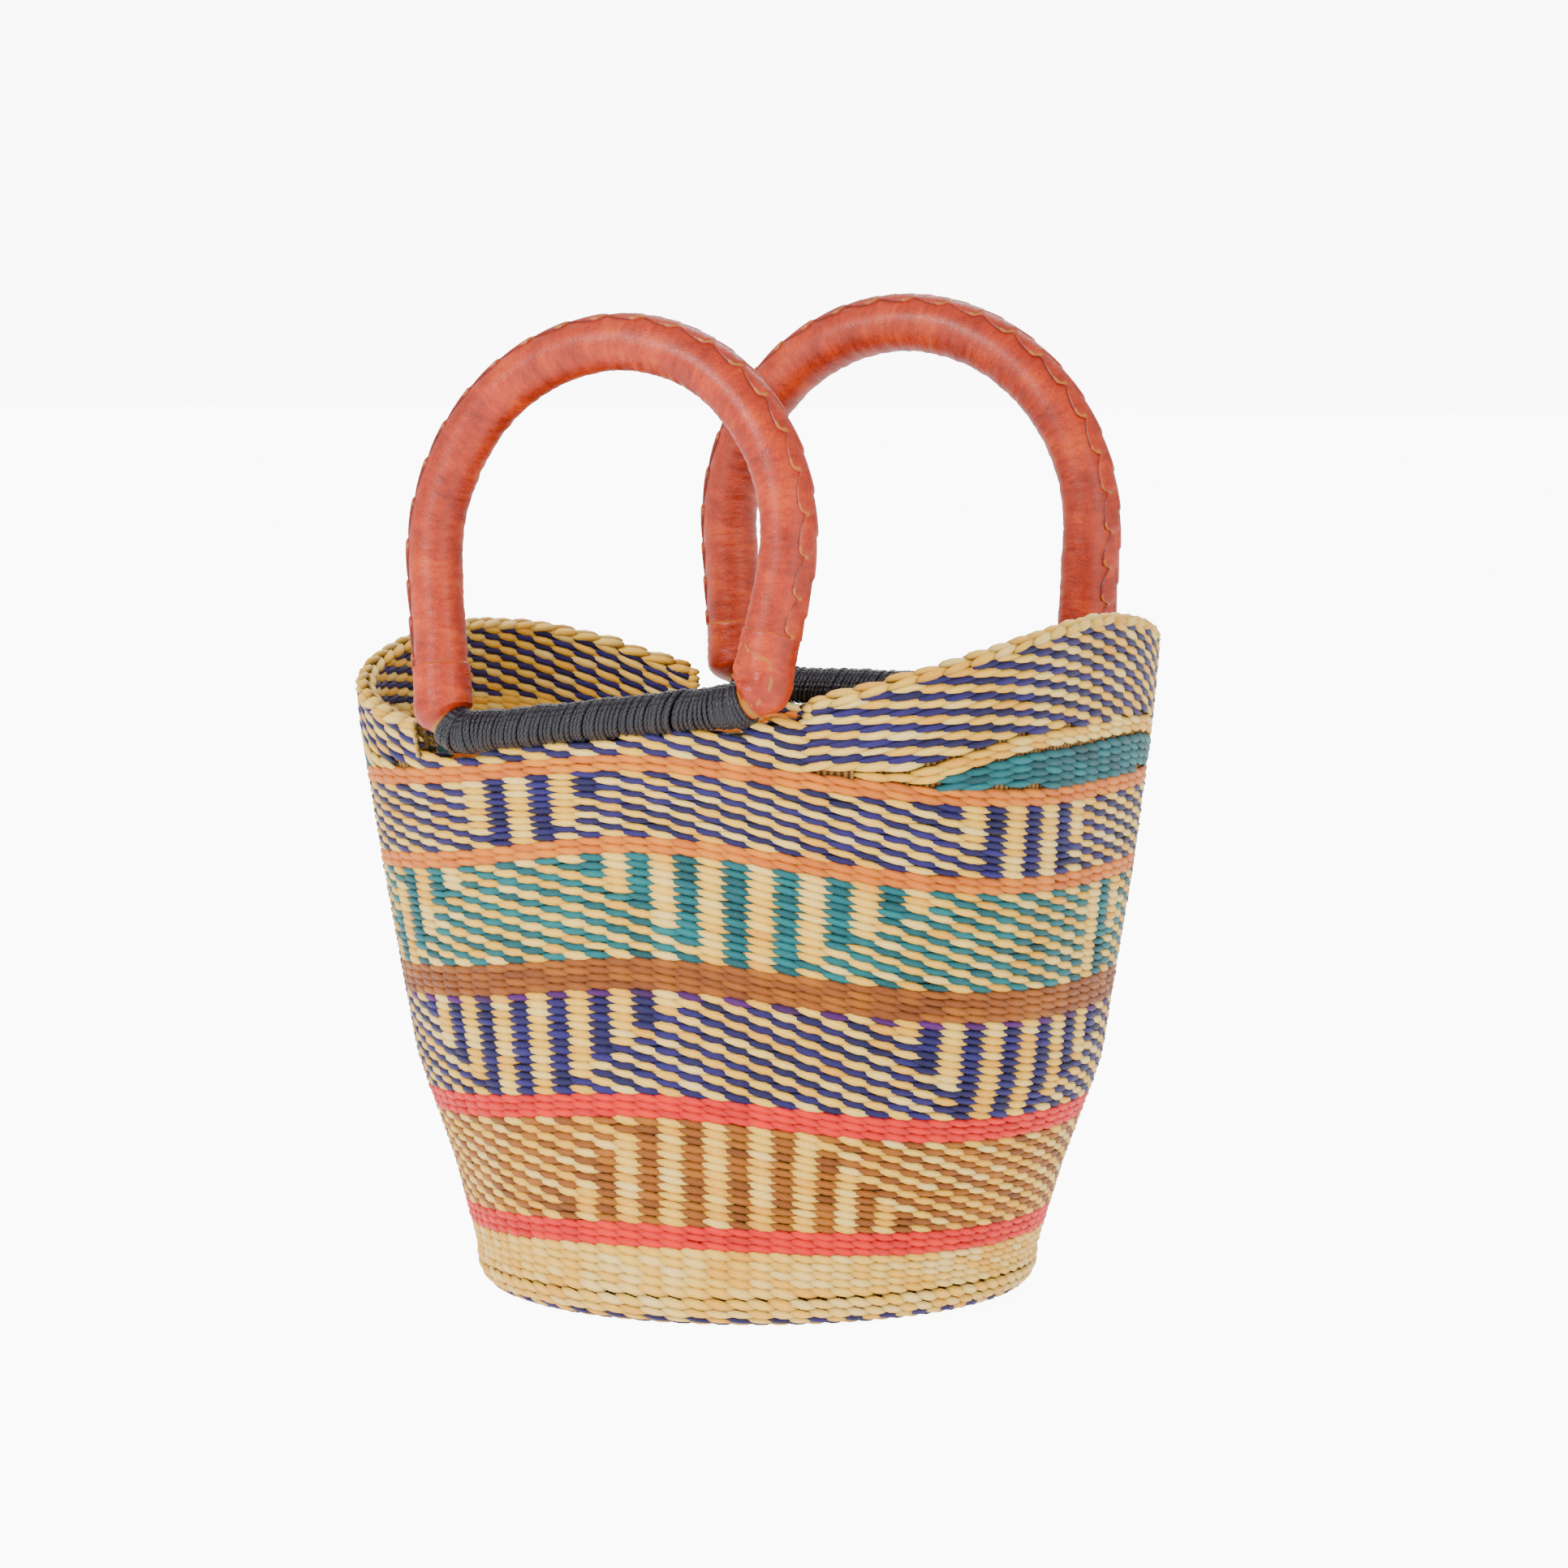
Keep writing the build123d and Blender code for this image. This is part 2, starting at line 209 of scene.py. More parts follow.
def wall_top(angle):
    """Top of the rows: the rim, or the saddle under a handle's lashing and cuffs."""
    top = rim_top(angle)
    place = wall(angle, SADDLE_LEVEL)
    for handle in HANDLES.values():
        x0, y0, z0 = handle["middle"]
        along = np.abs(place[..., 0] - x0)
        share = np.clip((along - handle["bar_half"]) / SADDLE_SLOPE + 1, 0, 1)
        cuffed = handle["sleeve"] - LEATHER + CUFF + TURNING_GAP
        groove = LASHED + (cuffed - LASHED) * share**2 * (3 - 2 * share)
        off = place[..., 1] - y0
        bar = z0 + (place[..., 0] - x0) * handle["slope"]
        saddle = bar - np.sqrt(np.maximum(groove**2 - off**2, SADDLE_DEPTH**2))
        top = np.where(beside(handle, place) & (along < handle["notch_half"]), saddle, top)
    return top


# stitches are spaced evenly round the wall at the height of the upper rows
fine = np.linspace(-180, 180, 2881)
round_line = wall(fine, 240.0)
travelled = np.concatenate([[0], np.cumsum(np.linalg.norm(np.diff(round_line, axis=0), axis=1))])
column_angles = np.interp((np.arange(COLUMNS) + 0.5) / COLUMNS * travelled[-1], travelled, fine)
once_round = np.concatenate([column_angles[-1:] - 360, column_angles, column_angles[:1] + 360])
column_width = np.gradient(once_round)[1:-1]

# ---- twining: pairs of twisted grass strands round the stakes ------------------------------------
# Each stitch is a strand that comes up between two stakes, passes over them and dives behind the next,
# so it shows as a plump leaf that slants down to the right. The tree lays one on each point it is given.
fibre_tree = bpy.data.node_groups.new("twined_stitches", "GeometryNodeTree")
fibre_tree.is_modifier = True
for socket_name, kind, value in (
    ("Points", "NodeSocketGeometry", None),
    ("Reach", "NodeSocketFloat", 1.44),
    ("Slant", "NodeSocketFloat", 0.42),
    ("Arch", "NodeSocketFloat", 0.75),
    ("Plumpness", "NodeSocketFloat", 0.50),
    ("Taper", "NodeSocketFloat", 0.62),
    ("Steps", "NodeSocketInt", 8),
    ("Sides", "NodeSocketInt", 6),
    ("Finish", "NodeSocketMaterial", None),
):
    socket = fibre_tree.interface.new_socket(socket_name, in_out="INPUT", socket_type=kind)
    if value is not None:
        socket.default_value = value
fibre_tree.interface.new_socket("Stitches", in_out="OUTPUT", socket_type="NodeSocketGeometry")


def put(tree, kind, settings=(), **links):
    """Add a node, set its properties, and link or fill its inputs by name."""
    added = tree.nodes.new(kind)
    for key, value in dict(settings).items():
        setattr(added, key, value)
    for key, value in links.items():
        key = key.replace("_", " ")
        socket = added.inputs[int(key[1:])] if key[0] == "i" and key[1:].isdigit() else added.inputs[key]
        if isinstance(value, bpy.types.NodeSocket):
            tree.links.new(value, socket)
        else:
            socket.default_value = value
    return added.outputs


def sums(tree, operation, first, second=0.0):
    return put(tree, "ShaderNodeMath", {"operation": operation}, i0=first, i1=second)[0]


def named_vector(tree, name):
    return put(tree, "GeometryNodeInputNamedAttribute", {"data_type": "FLOAT_VECTOR"}, Name=name)[0]


def keep_place(tree, geometry):
    """Keep each point's place within its strand, for the material to read."""
    return put(
        tree, "GeometryNodeStoreNamedAttribute", {"data_type": "FLOAT_VECTOR", "domain": "POINT"},
        Geometry=geometry, Name="lie", Value=put(tree, "GeometryNodeInputPosition")[0],
    )[0]


def lay_on_points(tree, strand, upright, lengthways):
    """Lay a strand on each point, turned and sized by what is written on the point."""
    axes = {"primary_axis": "Z", "secondary_axis": "X"}
    up, run = named_vector(tree, upright), named_vector(tree, lengthways)
    laid = put(
        tree, "GeometryNodeInstanceOnPoints", Points=given["Points"], Instance=strand,
        Rotation=put(tree, "FunctionNodeAxesToRotation", axes, i0=up, i1=run)[0],
        Scale=named_vector(tree, "size"),
    )[0]
    return put(tree, "GeometryNodeRealizeInstances", Geometry=laid)[0]


def finish_tree(tree, geometry):
    smooth = put(tree, "GeometryNodeSetShadeSmooth", Geometry=geometry)[0]
    finished = put(tree, "GeometryNodeSetMaterial", Geometry=smooth, Material=given["Finish"])[0]
    tree.links.new(finished, tree.nodes.new("NodeGroupOutput").inputs[0])


given = fibre_tree.nodes.new("NodeGroupInput").outputs
t = put(fibre_tree, "GeometryNodeSplineParameter")["Factor"]
half_turn = sums(fibre_tree, "MULTIPLY", t, math.pi)
swell = sums(fibre_tree, "MAXIMUM", sums(fibre_tree, "SINE", half_turn), 0.0)
straight = put(fibre_tree, "GeometryNodeCurvePrimitiveLine", Start=(-0.5, 0, 0), End=(0.5, 0, 0))[0]
stepped = put(fibre_tree, "GeometryNodeResampleCurve", Curve=straight, Count=given["Steps"])[0]
spine_place = put(
    fibre_tree,
    "ShaderNodeCombineXYZ",
    X=sums(fibre_tree, "MULTIPLY", sums(fibre_tree, "SUBTRACT", t, 0.5), given["Reach"]),
    Y=sums(fibre_tree, "MULTIPLY", sums(fibre_tree, "COSINE", half_turn), given["Slant"]),
    Z=sums(fibre_tree, "MULTIPLY", sums(fibre_tree, "SUBTRACT", swell, 0.6), given["Arch"]),
)[0]
spine = put(fibre_tree, "GeometryNodeSetPosition", Geometry=stepped, Position=spine_place)[0]
tapered = sums(fibre_tree, "POWER", sums(fibre_tree, "ADD", swell, 0.02), given["Taper"])
thickness = sums(fibre_tree, "MULTIPLY", tapered, given["Plumpness"])
swelled = put(fibre_tree, "GeometryNodeSetCurveRadius", Curve=spine, Radius=thickness)[0]
ring = put(fibre_tree, "GeometryNodeCurvePrimitiveCircle", Resolution=given["Sides"], Radius=1.0)[0]
strand_node = fibre_tree.nodes.new("GeometryNodeCurveToMesh")
fibre_tree.links.new(swelled, strand_node.inputs["Curve"])
fibre_tree.links.new(ring, strand_node.inputs["Profile Curve"])
strand_node.inputs["Fill Caps"].default_value = True
if "Scale" in strand_node.inputs:
    fibre_tree.links.new(thickness, strand_node.inputs["Scale"])
joined = lay_on_points(fibre_tree, keep_place(fibre_tree, strand_node.outputs[0]), "outward", "along")
for spent in ("outward", "along", "size"):
    joined = put(fibre_tree, "GeometryNodeRemoveAttribute", Geometry=joined, Name=spent)[0]
finish_tree(fibre_tree, joined)


def grown(points, tree, **inputs):
    """Run a tree on an object of points, and give back a plain object of the result."""
    modifier = points.modifiers.new("making", "NODES")
    modifier.node_group = tree
    named = {item.name: item.identifier for item in tree.interface.items_tree if item.in_out == "INPUT"}
    for name, value in inputs.items():
        modifier[named[name]] = value
    depsgraph = bpy.context.evaluated_depsgraph_get()
    mesh = bpy.data.meshes.new_from_object(points.evaluated_get(depsgraph), depsgraph=depsgraph)
    name = points.name
    bpy.data.objects.remove(points)
    mesh.name = name
    return placed(name, mesh)


def points_object(name, places, **attributes):
    mesh = bpy.data.meshes.new(name + "_points")
    mesh.from_pydata([tuple(p) for p in places], [], [])
    for key, values in attributes.items():
        values = np.asarray(values, np.float32)
        kind, field = ("FLOAT_VECTOR", "vector") if values.ndim == 2 else ("FLOAT", "value")
        mesh.attributes.new(key, kind, "POINT").data.foreach_set(field, values.ravel())
    return placed(name, mesh)


class Stitches:
    """Stitches gathered for one piece, as plain lists."""

    def __init__(self):
        self.places, self.alongs, self.outwards, self.sizes, self.tints = [], [], [], [], []

    def add(self, place, along, outward, size, tint):
        self.places.append(place)
        self.alongs.append(along)
        self.outwards.append(outward)
        self.sizes.append(size)
        self.tints.append(tint)

    def weave(self, name, finish, tree=fibre_tree, **sizes):
        points = points_object(
            name, self.places, along=self.alongs, outward=self.outwards, size=self.sizes, tint=self.tints
        )
        return grown(points, tree, Finish=finish, **sizes)


chance = np.random.default_rng(7)


def lay_row(heights, thick, choose, strands, columns=range(COLUMNS), row_height=None, keep=None):
    """Lay one row on both faces of the wall. choose says which of the two strands is out at a column."""
    for column in columns:
        angle = column_angles[column]
        height = float(heights(angle))
        if keep is not None and not keep(angle, height):
            continue
        step = column_width[column]
        tall = row_height(angle) if row_height else ROW
        start, stop = angle - step / 2, angle + step / 2
        run = wall(stop, heights(stop)) - wall(start, heights(start))
        out = unit(np.cross(run, wall(angle, height + 2) - wall(angle, height - 2)))
        wide = np.linalg.norm(run)
        run = run / wide
        for face, inset in ((1, 0.9), (-1, 5.1)):
            strand = choose(column) if face > 0 else 1 - choose(column)
            jitter = chance.normal(0, 1, 4)
            fat = 0.90 if strand == 1 else 1.06
            place = wall(angle, height + 0.10 * jitter[0], inset) + run * 0.22 * jitter[1]
            strands[strand].add(
                place * MM,
                run * face + np.array([0, 0, 0.018 * jitter[2]]),
                out * face,
                (wide * MM, tall * MM * fat * (1 + 0.07 * jitter[3]), thick * MM * (1 + 0.06 * jitter[2])),
                float(chance.random()),
            )


# ---- dyed grass ----------------------------------------------------------------------------------
# Split elephant grass, twisted wet and dyed before weaving. The dye takes unevenly along the fibres,
# and a few strands fray to a paler core; the pale cyan flecks on the purple grass are painted highlight.


def colour(red, green, blue, strength=1.55, depth=0.62):
    """A dye's colour, from 0 to 255, made stronger and deeper to stay rich under bright light."""
    plain = [v / 255 / 12.92 if v <= 10 else ((v / 255 + 0.055) / 1.055) ** 2.4 for v in (red, green, blue)]
    grey = 0.2126 * plain[0] + 0.7152 * plain[1] + 0.0722 * plain[2]
    return tuple(min(max((grey + (v - grey) * strength) * depth, 0.002), 0.95) for v in plain) + (1.0,)


def grass(name, deep, plain, pale, fray_and_glint, fray_share):
    """Straw with fibres that run along each strand. The colours go from the deepest to a frayed core, which
    on the purple grass is painted highlight.
    """
    material = bpy.data.materials.new(name)
    material.use_nodes = True
    tree = material.node_tree
    shader = tree.nodes["Principled BSDF"]
    lie = put(tree, "ShaderNodeAttribute", {"attribute_name": "lie"})["Vector"]
    tint = put(tree, "ShaderNodeAttribute", {"attribute_name": "tint"})["Fac"]
    own_shift = put(
        tree, "ShaderNodeCombineXYZ", X=sums(tree, "MULTIPLY", tint, 91.7),
        Y=sums(tree, "MULTIPLY", tint, 57.3)
    )[0]
    stretched = put(tree, "ShaderNodeVectorMath", {"operation": "MULTIPLY"}, i0=lie, i1=(2.0, 9.0, 9.0))[0]
    moved = put(tree, "ShaderNodeVectorMath", {"operation": "ADD"}, i0=stretched, i1=own_shift)[0]
    fibres = put(tree, "ShaderNodeTexNoise", Vector=moved, Scale=1.6, Detail=4.0, Roughness=0.6)[0]
    patches = put(
        tree, "ShaderNodeTexNoise", Vector=put(tree, "ShaderNodeTexCoord")["Object"], Scale=26.0,
        Detail=2.0
    )[0]
    shade = sums(tree, "ADD", sums(tree, "MULTIPLY", fibres, 0.55), sums(tree, "MULTIPLY", tint, 0.28))
    shade = sums(tree, "ADD", shade, sums(tree, "MULTIPLY", patches, 0.25))
    ramp = tree.nodes.new("ShaderNodeValToRGB")
    ramp.color_ramp.elements[0].position, ramp.color_ramp.elements[0].color = 0.28, deep
    ramp.color_ramp.elements[1].position, ramp.color_ramp.elements[1].color = 0.82, pale
    ramp.color_ramp.elements.new(0.54).color = plain
    tree.links.new(shade, ramp.inputs[0])
    # thin cracks show the paler core of a strand here and there; on the purple grass the cyan flecks they
    # make are painted highlight
    cracked = put(tree, "ShaderNodeVectorMath", {"operation": "MULTIPLY"}, i0=moved, i1=(0.8, 2.2, 2.2))[0]
    cracks = put(tree, "ShaderNodeTexNoise", Vector=cracked, Scale=1.3, Detail=3.0)[0]
    crack_ramp = tree.nodes.new("ShaderNodeValToRGB")
    crack_ramp.color_ramp.elements[0].position = fray_share
    crack_ramp.color_ramp.elements[1].position = fray_share + 0.07
    tree.links.new(cracks, crack_ramp.inputs[0])
    fray_and_glint_flecked = put(
        tree, "ShaderNodeMix", {"data_type": "RGBA"}, i0=crack_ramp.outputs[0], i6=ramp.outputs[0], i7=fray_and_glint
    )[2]
    # painted shade: strands are darkened where they dive between their neighbours, standing in for the shade
    # in the gaps between rows
    depth = put(tree, "ShaderNodeSeparateXYZ", Vector=lie)[2]
    painted_gap_shade = put(tree, "ShaderNodeMapRange", Value=depth, i1=-0.40, i2=0.75, i3=0.05, i4=1.04)[0]
    gap_shaded_colour = put(
        tree, "ShaderNodeMix", {"data_type": "RGBA", "blend_type": "MULTIPLY"}, i0=1.0, i6=fray_and_glint_flecked,
        i7=painted_gap_shade
    )[2]
    tree.links.new(gap_shaded_colour, shader.inputs["Base Color"])
    rough = put(tree, "ShaderNodeMapRange", Value=fibres, i1=0.3, i2=0.7, i3=0.34, i4=0.58)[0]
    tree.links.new(rough, shader.inputs["Roughness"])
    bumps = put(tree, "ShaderNodeBump", Strength=0.55, Distance=0.0006, Height=fibres)[0]
    tree.links.new(bumps, shader.inputs["Normal"])
    shader.inputs["Specular IOR Level"].default_value = 0.34
    shader.inputs["Sheen Weight"].default_value = 0.03
    return material


natural_grass = grass(
    "natural_grass",
    colour(218, 162, 98, 1.7, 0.86),
    colour(248, 203, 148, 1.7, 1.0),
    colour(255, 228, 184, 1.5, 1.0),
    colour(178, 126, 70, 1.6, 0.6), 0.70,
)
purple_grass = grass(
    "purple_grass",
    colour(30, 22, 84, 1.6, 0.22),
    colour(52, 40, 120, 1.7, 0.28),
    colour(78, 66, 156, 1.6, 0.37),
    # painted highlight: this pale cyan fray colour stands in for the cyan-white glints on the purple strands
    colour(120, 180, 210, 1.4, 0.7), 0.70,
)
violet_grass = grass(
    "violet_grass",
    colour(66, 18, 84, 1.5, 0.30),
    colour(94, 32, 116, 1.6, 0.40),
    colour(124, 58, 146, 1.6, 0.50),
    colour(150, 120, 170, 1.2, 0.7), 0.74,
)
teal_grass = grass(
    "teal_grass",
    colour(0, 92, 98, 1.5, 0.30),
    colour(0, 136, 142, 1.5, 0.42),
    colour(14, 162, 166, 1.5, 0.54),
    colour(130, 215, 205, 1.4, 0.8), 0.68,
)
orange_grass = grass(
    "orange_grass",
    colour(240, 138, 12, 1.4, 0.50),
    colour(255, 157, 20, 1.4, 0.62),
    colour(255, 174, 44, 1.4, 0.74),
    colour(255, 214, 160, 1.4, 0.9), 0.74,
)
rust_grass = grass(
    "rust_grass",
    colour(160, 90, 20, 1.25, 0.40),
    colour(196, 116, 34, 1.25, 0.48),
    colour(220, 142, 58, 1.25, 0.58),
    colour(236, 180, 120, 1.4, 0.8), 0.74,
)
brown_grass = grass(
    "brown_grass",
    colour(150, 90, 14, 1.25, 0.40),
    colour(192, 118, 26, 1.25, 0.52),
    colour(216, 146, 50, 1.25, 0.64),
    colour(232, 184, 116, 1.4, 0.8), 0.73,
)
coral_grass = grass(
    "coral_grass",
    colour(218, 44, 22, 1.6, 0.54),
    colour(244, 72, 40, 1.6, 0.66),
    colour(254, 100, 60, 1.6, 0.78),
    colour(255, 186, 140, 1.4, 0.9), 0.74,
)


def fasten(piece, body, slot_name, *nodes):
    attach(piece, body)
    if nodes:
        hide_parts(*nodes)


# ---- patterned and plain bands -------------------------------------------------------------------
# A band of one colour twines two strands of it. A patterned band twines one dyed and one natural strand:
# where a stake is skipped on every row the colours climb in slanting lines, and elsewhere they stack.


def stack_zones(*zones):
    """Stretches where the colours stack, each as its left and right angles at the top and the bottom."""

    def stacked(angle, share):
        for top_left, top_right, foot_left, foot_right in zones:
            left = foot_left + (top_left - foot_left) * share
            right = foot_right + (top_right - foot_right) * share
            if abs(apart(angle, (left + right) / 2)) < (right - left) / 2:
                return True
        return False

    return stacked


def woven_band(node, slot_name, lower, upper, rows, dyes, stacked=None, thick=2.5):
    """dyes gives the dyed grass of each row, from the bottom. Without stack zones a band is all dyed."""
    used = sorted({dye.name for dye in dyes})
    groups = {name: Stitches() for name in used + ["natural_grass"]}
    fullness = 1.04 / 0.9 if stacked is None else 1.0  # an all-dyed band is packed fuller
    for row in range(rows):
        share = (row + 0.5) / rows
        dyed = groups[dyes[row].name]
        if stacked is None:
            choose, strands = (lambda column: 1), {0: dyed, 1: dyed}
        else:
            strands = {1: dyed, 0: groups["natural_grass"]}

            def choose(column, row=row, share=share):
                if stacked(column_angles[column], share):
                    return column % 2
                return (column + row) % 2

        lay_row(
            lambda a, share=share: lower(a) + (upper(a) - lower(a)) * share,
            thick,
            choose,
            strands,
            row_height=lambda a: float(upper(a) - lower(a)) / rows * fullness,
        )
    for name, group in groups.items():
        if not group.places:
            continue
        if name == dyes[0].name:
            piece = group.weave(node + "_strands", bpy.data.materials[name])
            fasten(piece, "basket", slot_name, node)
        elif name == "natural_grass":
            piece = group.weave(node + "_natural_strands", natural_grass)
            fasten(piece, "basket", "natural_straw")
        else:
            piece = group.weave(node + "_" + name.split("_")[0] + "_strands", bpy.data.materials[name])
            fasten(piece, "basket", slot_name)


lower_coral, lower_coral_top = row_line(30.8, 5.2), row_line(41.2, 5.2)
upper_coral, upper_coral_top = row_line(83.2, 12.0), row_line(93.6, 12.0)
rust, rust_top = row_line(138.4, 15.4), row_line(152.4, 15.4)
lower_orange, lower_orange_top = row_line(197.0, 19.0), row_line(204.2, 19.0)
upper_orange = row_line(237.0, 16.2)

woven_band("natural_foot_band", "natural_straw", row_line(14, 0), lower_coral, 5, [natural_grass] * 5)
woven_band("lower_coral_band", "coral_straw", lower_coral, lower_coral_top, 3, [coral_grass] * 3)
woven_band(
    "brown_pattern_band", "brown_straw", lower_coral_top, upper_coral, 13, [brown_grass] * 13,
    stack_zones((-84, -56, -104, -27), (96, 124, 76, 153)),
)
woven_band("upper_coral_band", "coral_straw", upper_coral, upper_coral_top, 3, [coral_grass] * 3)
woven_band(
    "lower_purple_pattern_band", "purple_straw", upper_coral_top, rust, 13,
    [purple_grass] * 12 + [violet_grass],
    stack_zones((-140, -72, -119, -102), (-42, 12, -24, -9), (40, 108, 61, 78), (138, 192, 156, 171)),
)
woven_band("rust_band", "rust_straw", rust, rust_top, 4, [rust_grass] * 4)
woven_band(
    "teal_pattern_band", "teal_straw", rust_top, lower_orange, 13, [teal_grass] * 13,
    stack_zones((-97, -31, -70, -57), (-137, -118, -150, -140), (0, 12, 0, 8), (83, 149, 110, 123)),
)
woven_band("lower_orange_band", "orange_straw", lower_orange, lower_orange_top, 2, [orange_grass] * 2)
woven_band(
    "upper_purple_pattern_band", "purple_straw", lower_orange_top, upper_orange, 10, [purple_grass] * 10,
    stack_zones((-118, -89, -114, -99), (-35, -2, -25, -10), (62, 91, 66, 81), (145, 178, 155, 170)),
)
woven_band("upper_orange_band", "orange_straw", upper_orange, orange_top, 2, [orange_grass] * 2)

# ---- wedges of short rows ------------------------------------------------------------------------
# Short rows at the two ends lift the rim into its peaks: teal first, then natural grass over it.
# Each row starts and ends against the rows below it.
for side, middle_angle in (("right", 0), ("left", 180)):
    for kind, grass_used, slot_name, lower, upper, half in (
        ("teal", teal_grass, "teal_straw", orange_top, teal_top, 42),
        ("natural", natural_grass, "natural_straw", teal_top, natural_top, 58),
    ):
        wedge_stitches = Stitches()
        end_columns = [c for c in range(COLUMNS) if abs(apart(column_angles[c], middle_angle)) < half]
        for row in range(6):
            lay_row(
                lambda a, row=row: upper(a) - (row + 0.5) * ROW,
                2.5,
                lambda column: 1,
                {1: wedge_stitches, 0: wedge_stitches},
                columns=end_columns,
                row_height=lambda a: ROW / 0.88,
                keep=lambda a, z: z > lower(a) + 0.8,
            )
        piece = wedge_stitches.weave(f"{side}_{kind}_wedge_strands", grass_used)
        fasten(piece, "basket", slot_name, f"{side}_{kind}_wedge")

# ---- rim rows ------------------------------------------------------------------------------------
# Purple and natural rows run parallel to the rim, and stop on the waves of the rows below.
# Under the handles only the lowest of them are left, beneath the lashing.


def part_of_rim(angle):
    place = wall(angle, SADDLE_LEVEL)
    for name, handle in HANDLES.items():
        if beside(handle, place) and abs(place[0] - handle["middle"][0]) < handle["notch_half"]:
            return name
    return "right" if place[0] > 0 else "left"


rim_part = {column: part_of_rim(column_angles[column]) for column in range(COLUMNS)}
for part in ("front", "rear", "right", "left"):
    rim_purple, rim_natural = Stitches(), Stitches()
    for row in range(18):
        lay_row(
            (lambda a, row=row: natural_top(a) + (row + 0.5) * 3.2) if part in HANDLES
            else (lambda a, row=row: rim_top(a) - (row + 0.5) * ROW),
            2.6,
            lambda column, row=row: (column + row + 1) % 2,
            {1: rim_purple, 0: rim_natural},
            columns=[c for c in range(COLUMNS) if rim_part[c] == part],
            keep=lambda a, z: natural_top(a) + 0.6 < z < wall_top(a) + (1.8 if part in HANDLES else -0.2),
        )
    piece = rim_purple.weave(f"{part}_rim_purple_strands", purple_grass)
    fasten(piece, "basket", "purple_straw", f"{part}_rim_rows")
    piece = rim_natural.weave(f"{part}_rim_natural_strands", natural_grass)
    fasten(piece, "basket", "natural_straw")

# the ends of the rows beside the handles are bound with wraps over the wall's cut end
end_wraps = Stitches()
notch_edges = []
for handle in HANDLES.values():
    for sign in (-1, 1):
        edge_x = handle["middle"][0] + sign * handle["notch_half"]
        rim_places = wall(fine, SADDLE_LEVEL)
        other_side = 1000 * ~beside(handle, rim_places)
        notch_angle = fine[np.argmin(np.abs(rim_places[:, 0] - edge_x) + other_side)]
        notch_edges.append(float(notch_angle))
        inward = -0.35 if (sign > 0) == (handle["side"] > 0) else 0.35
        for step_up in range(12):
            height = float(wall_top(notch_angle + inward)) + 1.0 + step_up * 3.3
            if height > rim_top(notch_angle) + 3:
                break
            for inset, lean in ((0.6, 1.0), (3.0, 0.0), (5.4, -1.0)):
                here = wall(notch_angle, height, inset)
                through = unit(wall(notch_angle, height, -10) - wall(notch_angle, height, 10))
                away = np.cross(through, (0, 0, 1)) * (1 if inward > 0 else -1)
                out = away + through * lean
                end_wraps.add(
                    (here + away * 0.2) * 0.001, np.cross((0, 0, 1), out) + np.array([0, 0, 0.25]),
                    out / np.linalg.norm(out),
                    (0.0052, 0.0042, 0.0030), float(chance.random()),
                )
fasten(end_wraps.weave("rim_row_end_wraps", natural_grass, Reach=1.3, Slant=0.1), "basket", "natural_straw")

# ---- rim border ----------------------------------------------------------------------------------
# The ends of the stakes are bent over and tucked down behind each other, which leaves a row of bumps.
for side in ("right", "left"):
    bumps = Stitches()
    for column in range(COLUMNS):
        angle = column_angles[column]
        if rim_part[column] != side:
            continue
        step = column_width[column] / 2
        start, stop = angle - step, angle + step
        for edge in notch_edges:
            if start < edge + 1 < angle:
                start = edge + 1
            if angle < edge - 1 < stop:
                stop = edge - 1
        angle = (start + stop) / 2
        before, after = wall(start, rim_top(start), 3), wall(stop, rim_top(stop), 3)
        run = after - before
        wide = np.linalg.norm(run)
        run = run / wide
        sideways = np.cross(run, (0, 0, 1))
        for lean, inset, lift, tall in ((1, 1.2, 0.3, 4.0), (0.25, 2.6, 1.7, 4.8), (-1, 4.8, 0.3, 4.0)):
            out = sideways * lean + np.array([0, 0, 0.8])
            jitter = chance.normal(0, 1, 3)
            bumps.add(
                (
                    wall(angle, rim_top(angle) + lift + 0.25 * jitter[0], inset) + run * 0.5 * jitter[1]
                ) * 0.001,
                run + np.array([0, 0, 0.25 if lean > 0 else -0.25]),
                out / np.linalg.norm(out),
                (wide * 0.00098, tall * 0.001 * (1 + 0.08 * jitter[2]), 0.0036),
                float(chance.random()),
            )
    piece = bumps.weave(
        f"{side}_rim_border_bumps", natural_grass, Reach=1.28, Slant=0.14, Taper=0.5, Plumpness=0.56
    )
    fasten(piece, "basket", "natural_straw", f"{side}_rim_border")

# ---- stakes --------------------------------------------------------------------------------------
# Bundles of thin stems stand inside the wall. They show as pale stubs in the gaps between the stitches, and
# every other stem, set deeper in a groove, is painted dark brown as painted shade in that recess.
STEMS = COLUMNS * 4
stem_angles = np.interp(np.arange(STEMS * 2) / (STEMS * 2) * travelled[-1], travelled, fine)
levels = 26
stake_places, stake_faces, stake_numbers = [], [], []
for inset, groove in ((1.5, 0.9), (4.5, -0.9)):
    for level in range(levels):
        for index, angle in enumerate(stem_angles):
            bottom = 7.0
            top = float(wall_top(angle)) - (0.6 if part_of_rim(angle) in HANDLES else -1.2)
            height = bottom + (top - bottom) * level / (levels - 1)
            point = wall(angle, height, inset + (groove if index % 2 else 0))
            if height < 14:
                shrink = 1 - 0.055 * (1 - height / 14)
                point = point * (shrink, shrink, 1)
            stake_places.append(tuple(point * 0.001))
            stake_numbers.append((index // 2) % STEMS)
count = len(stem_angles)
shell = count * levels
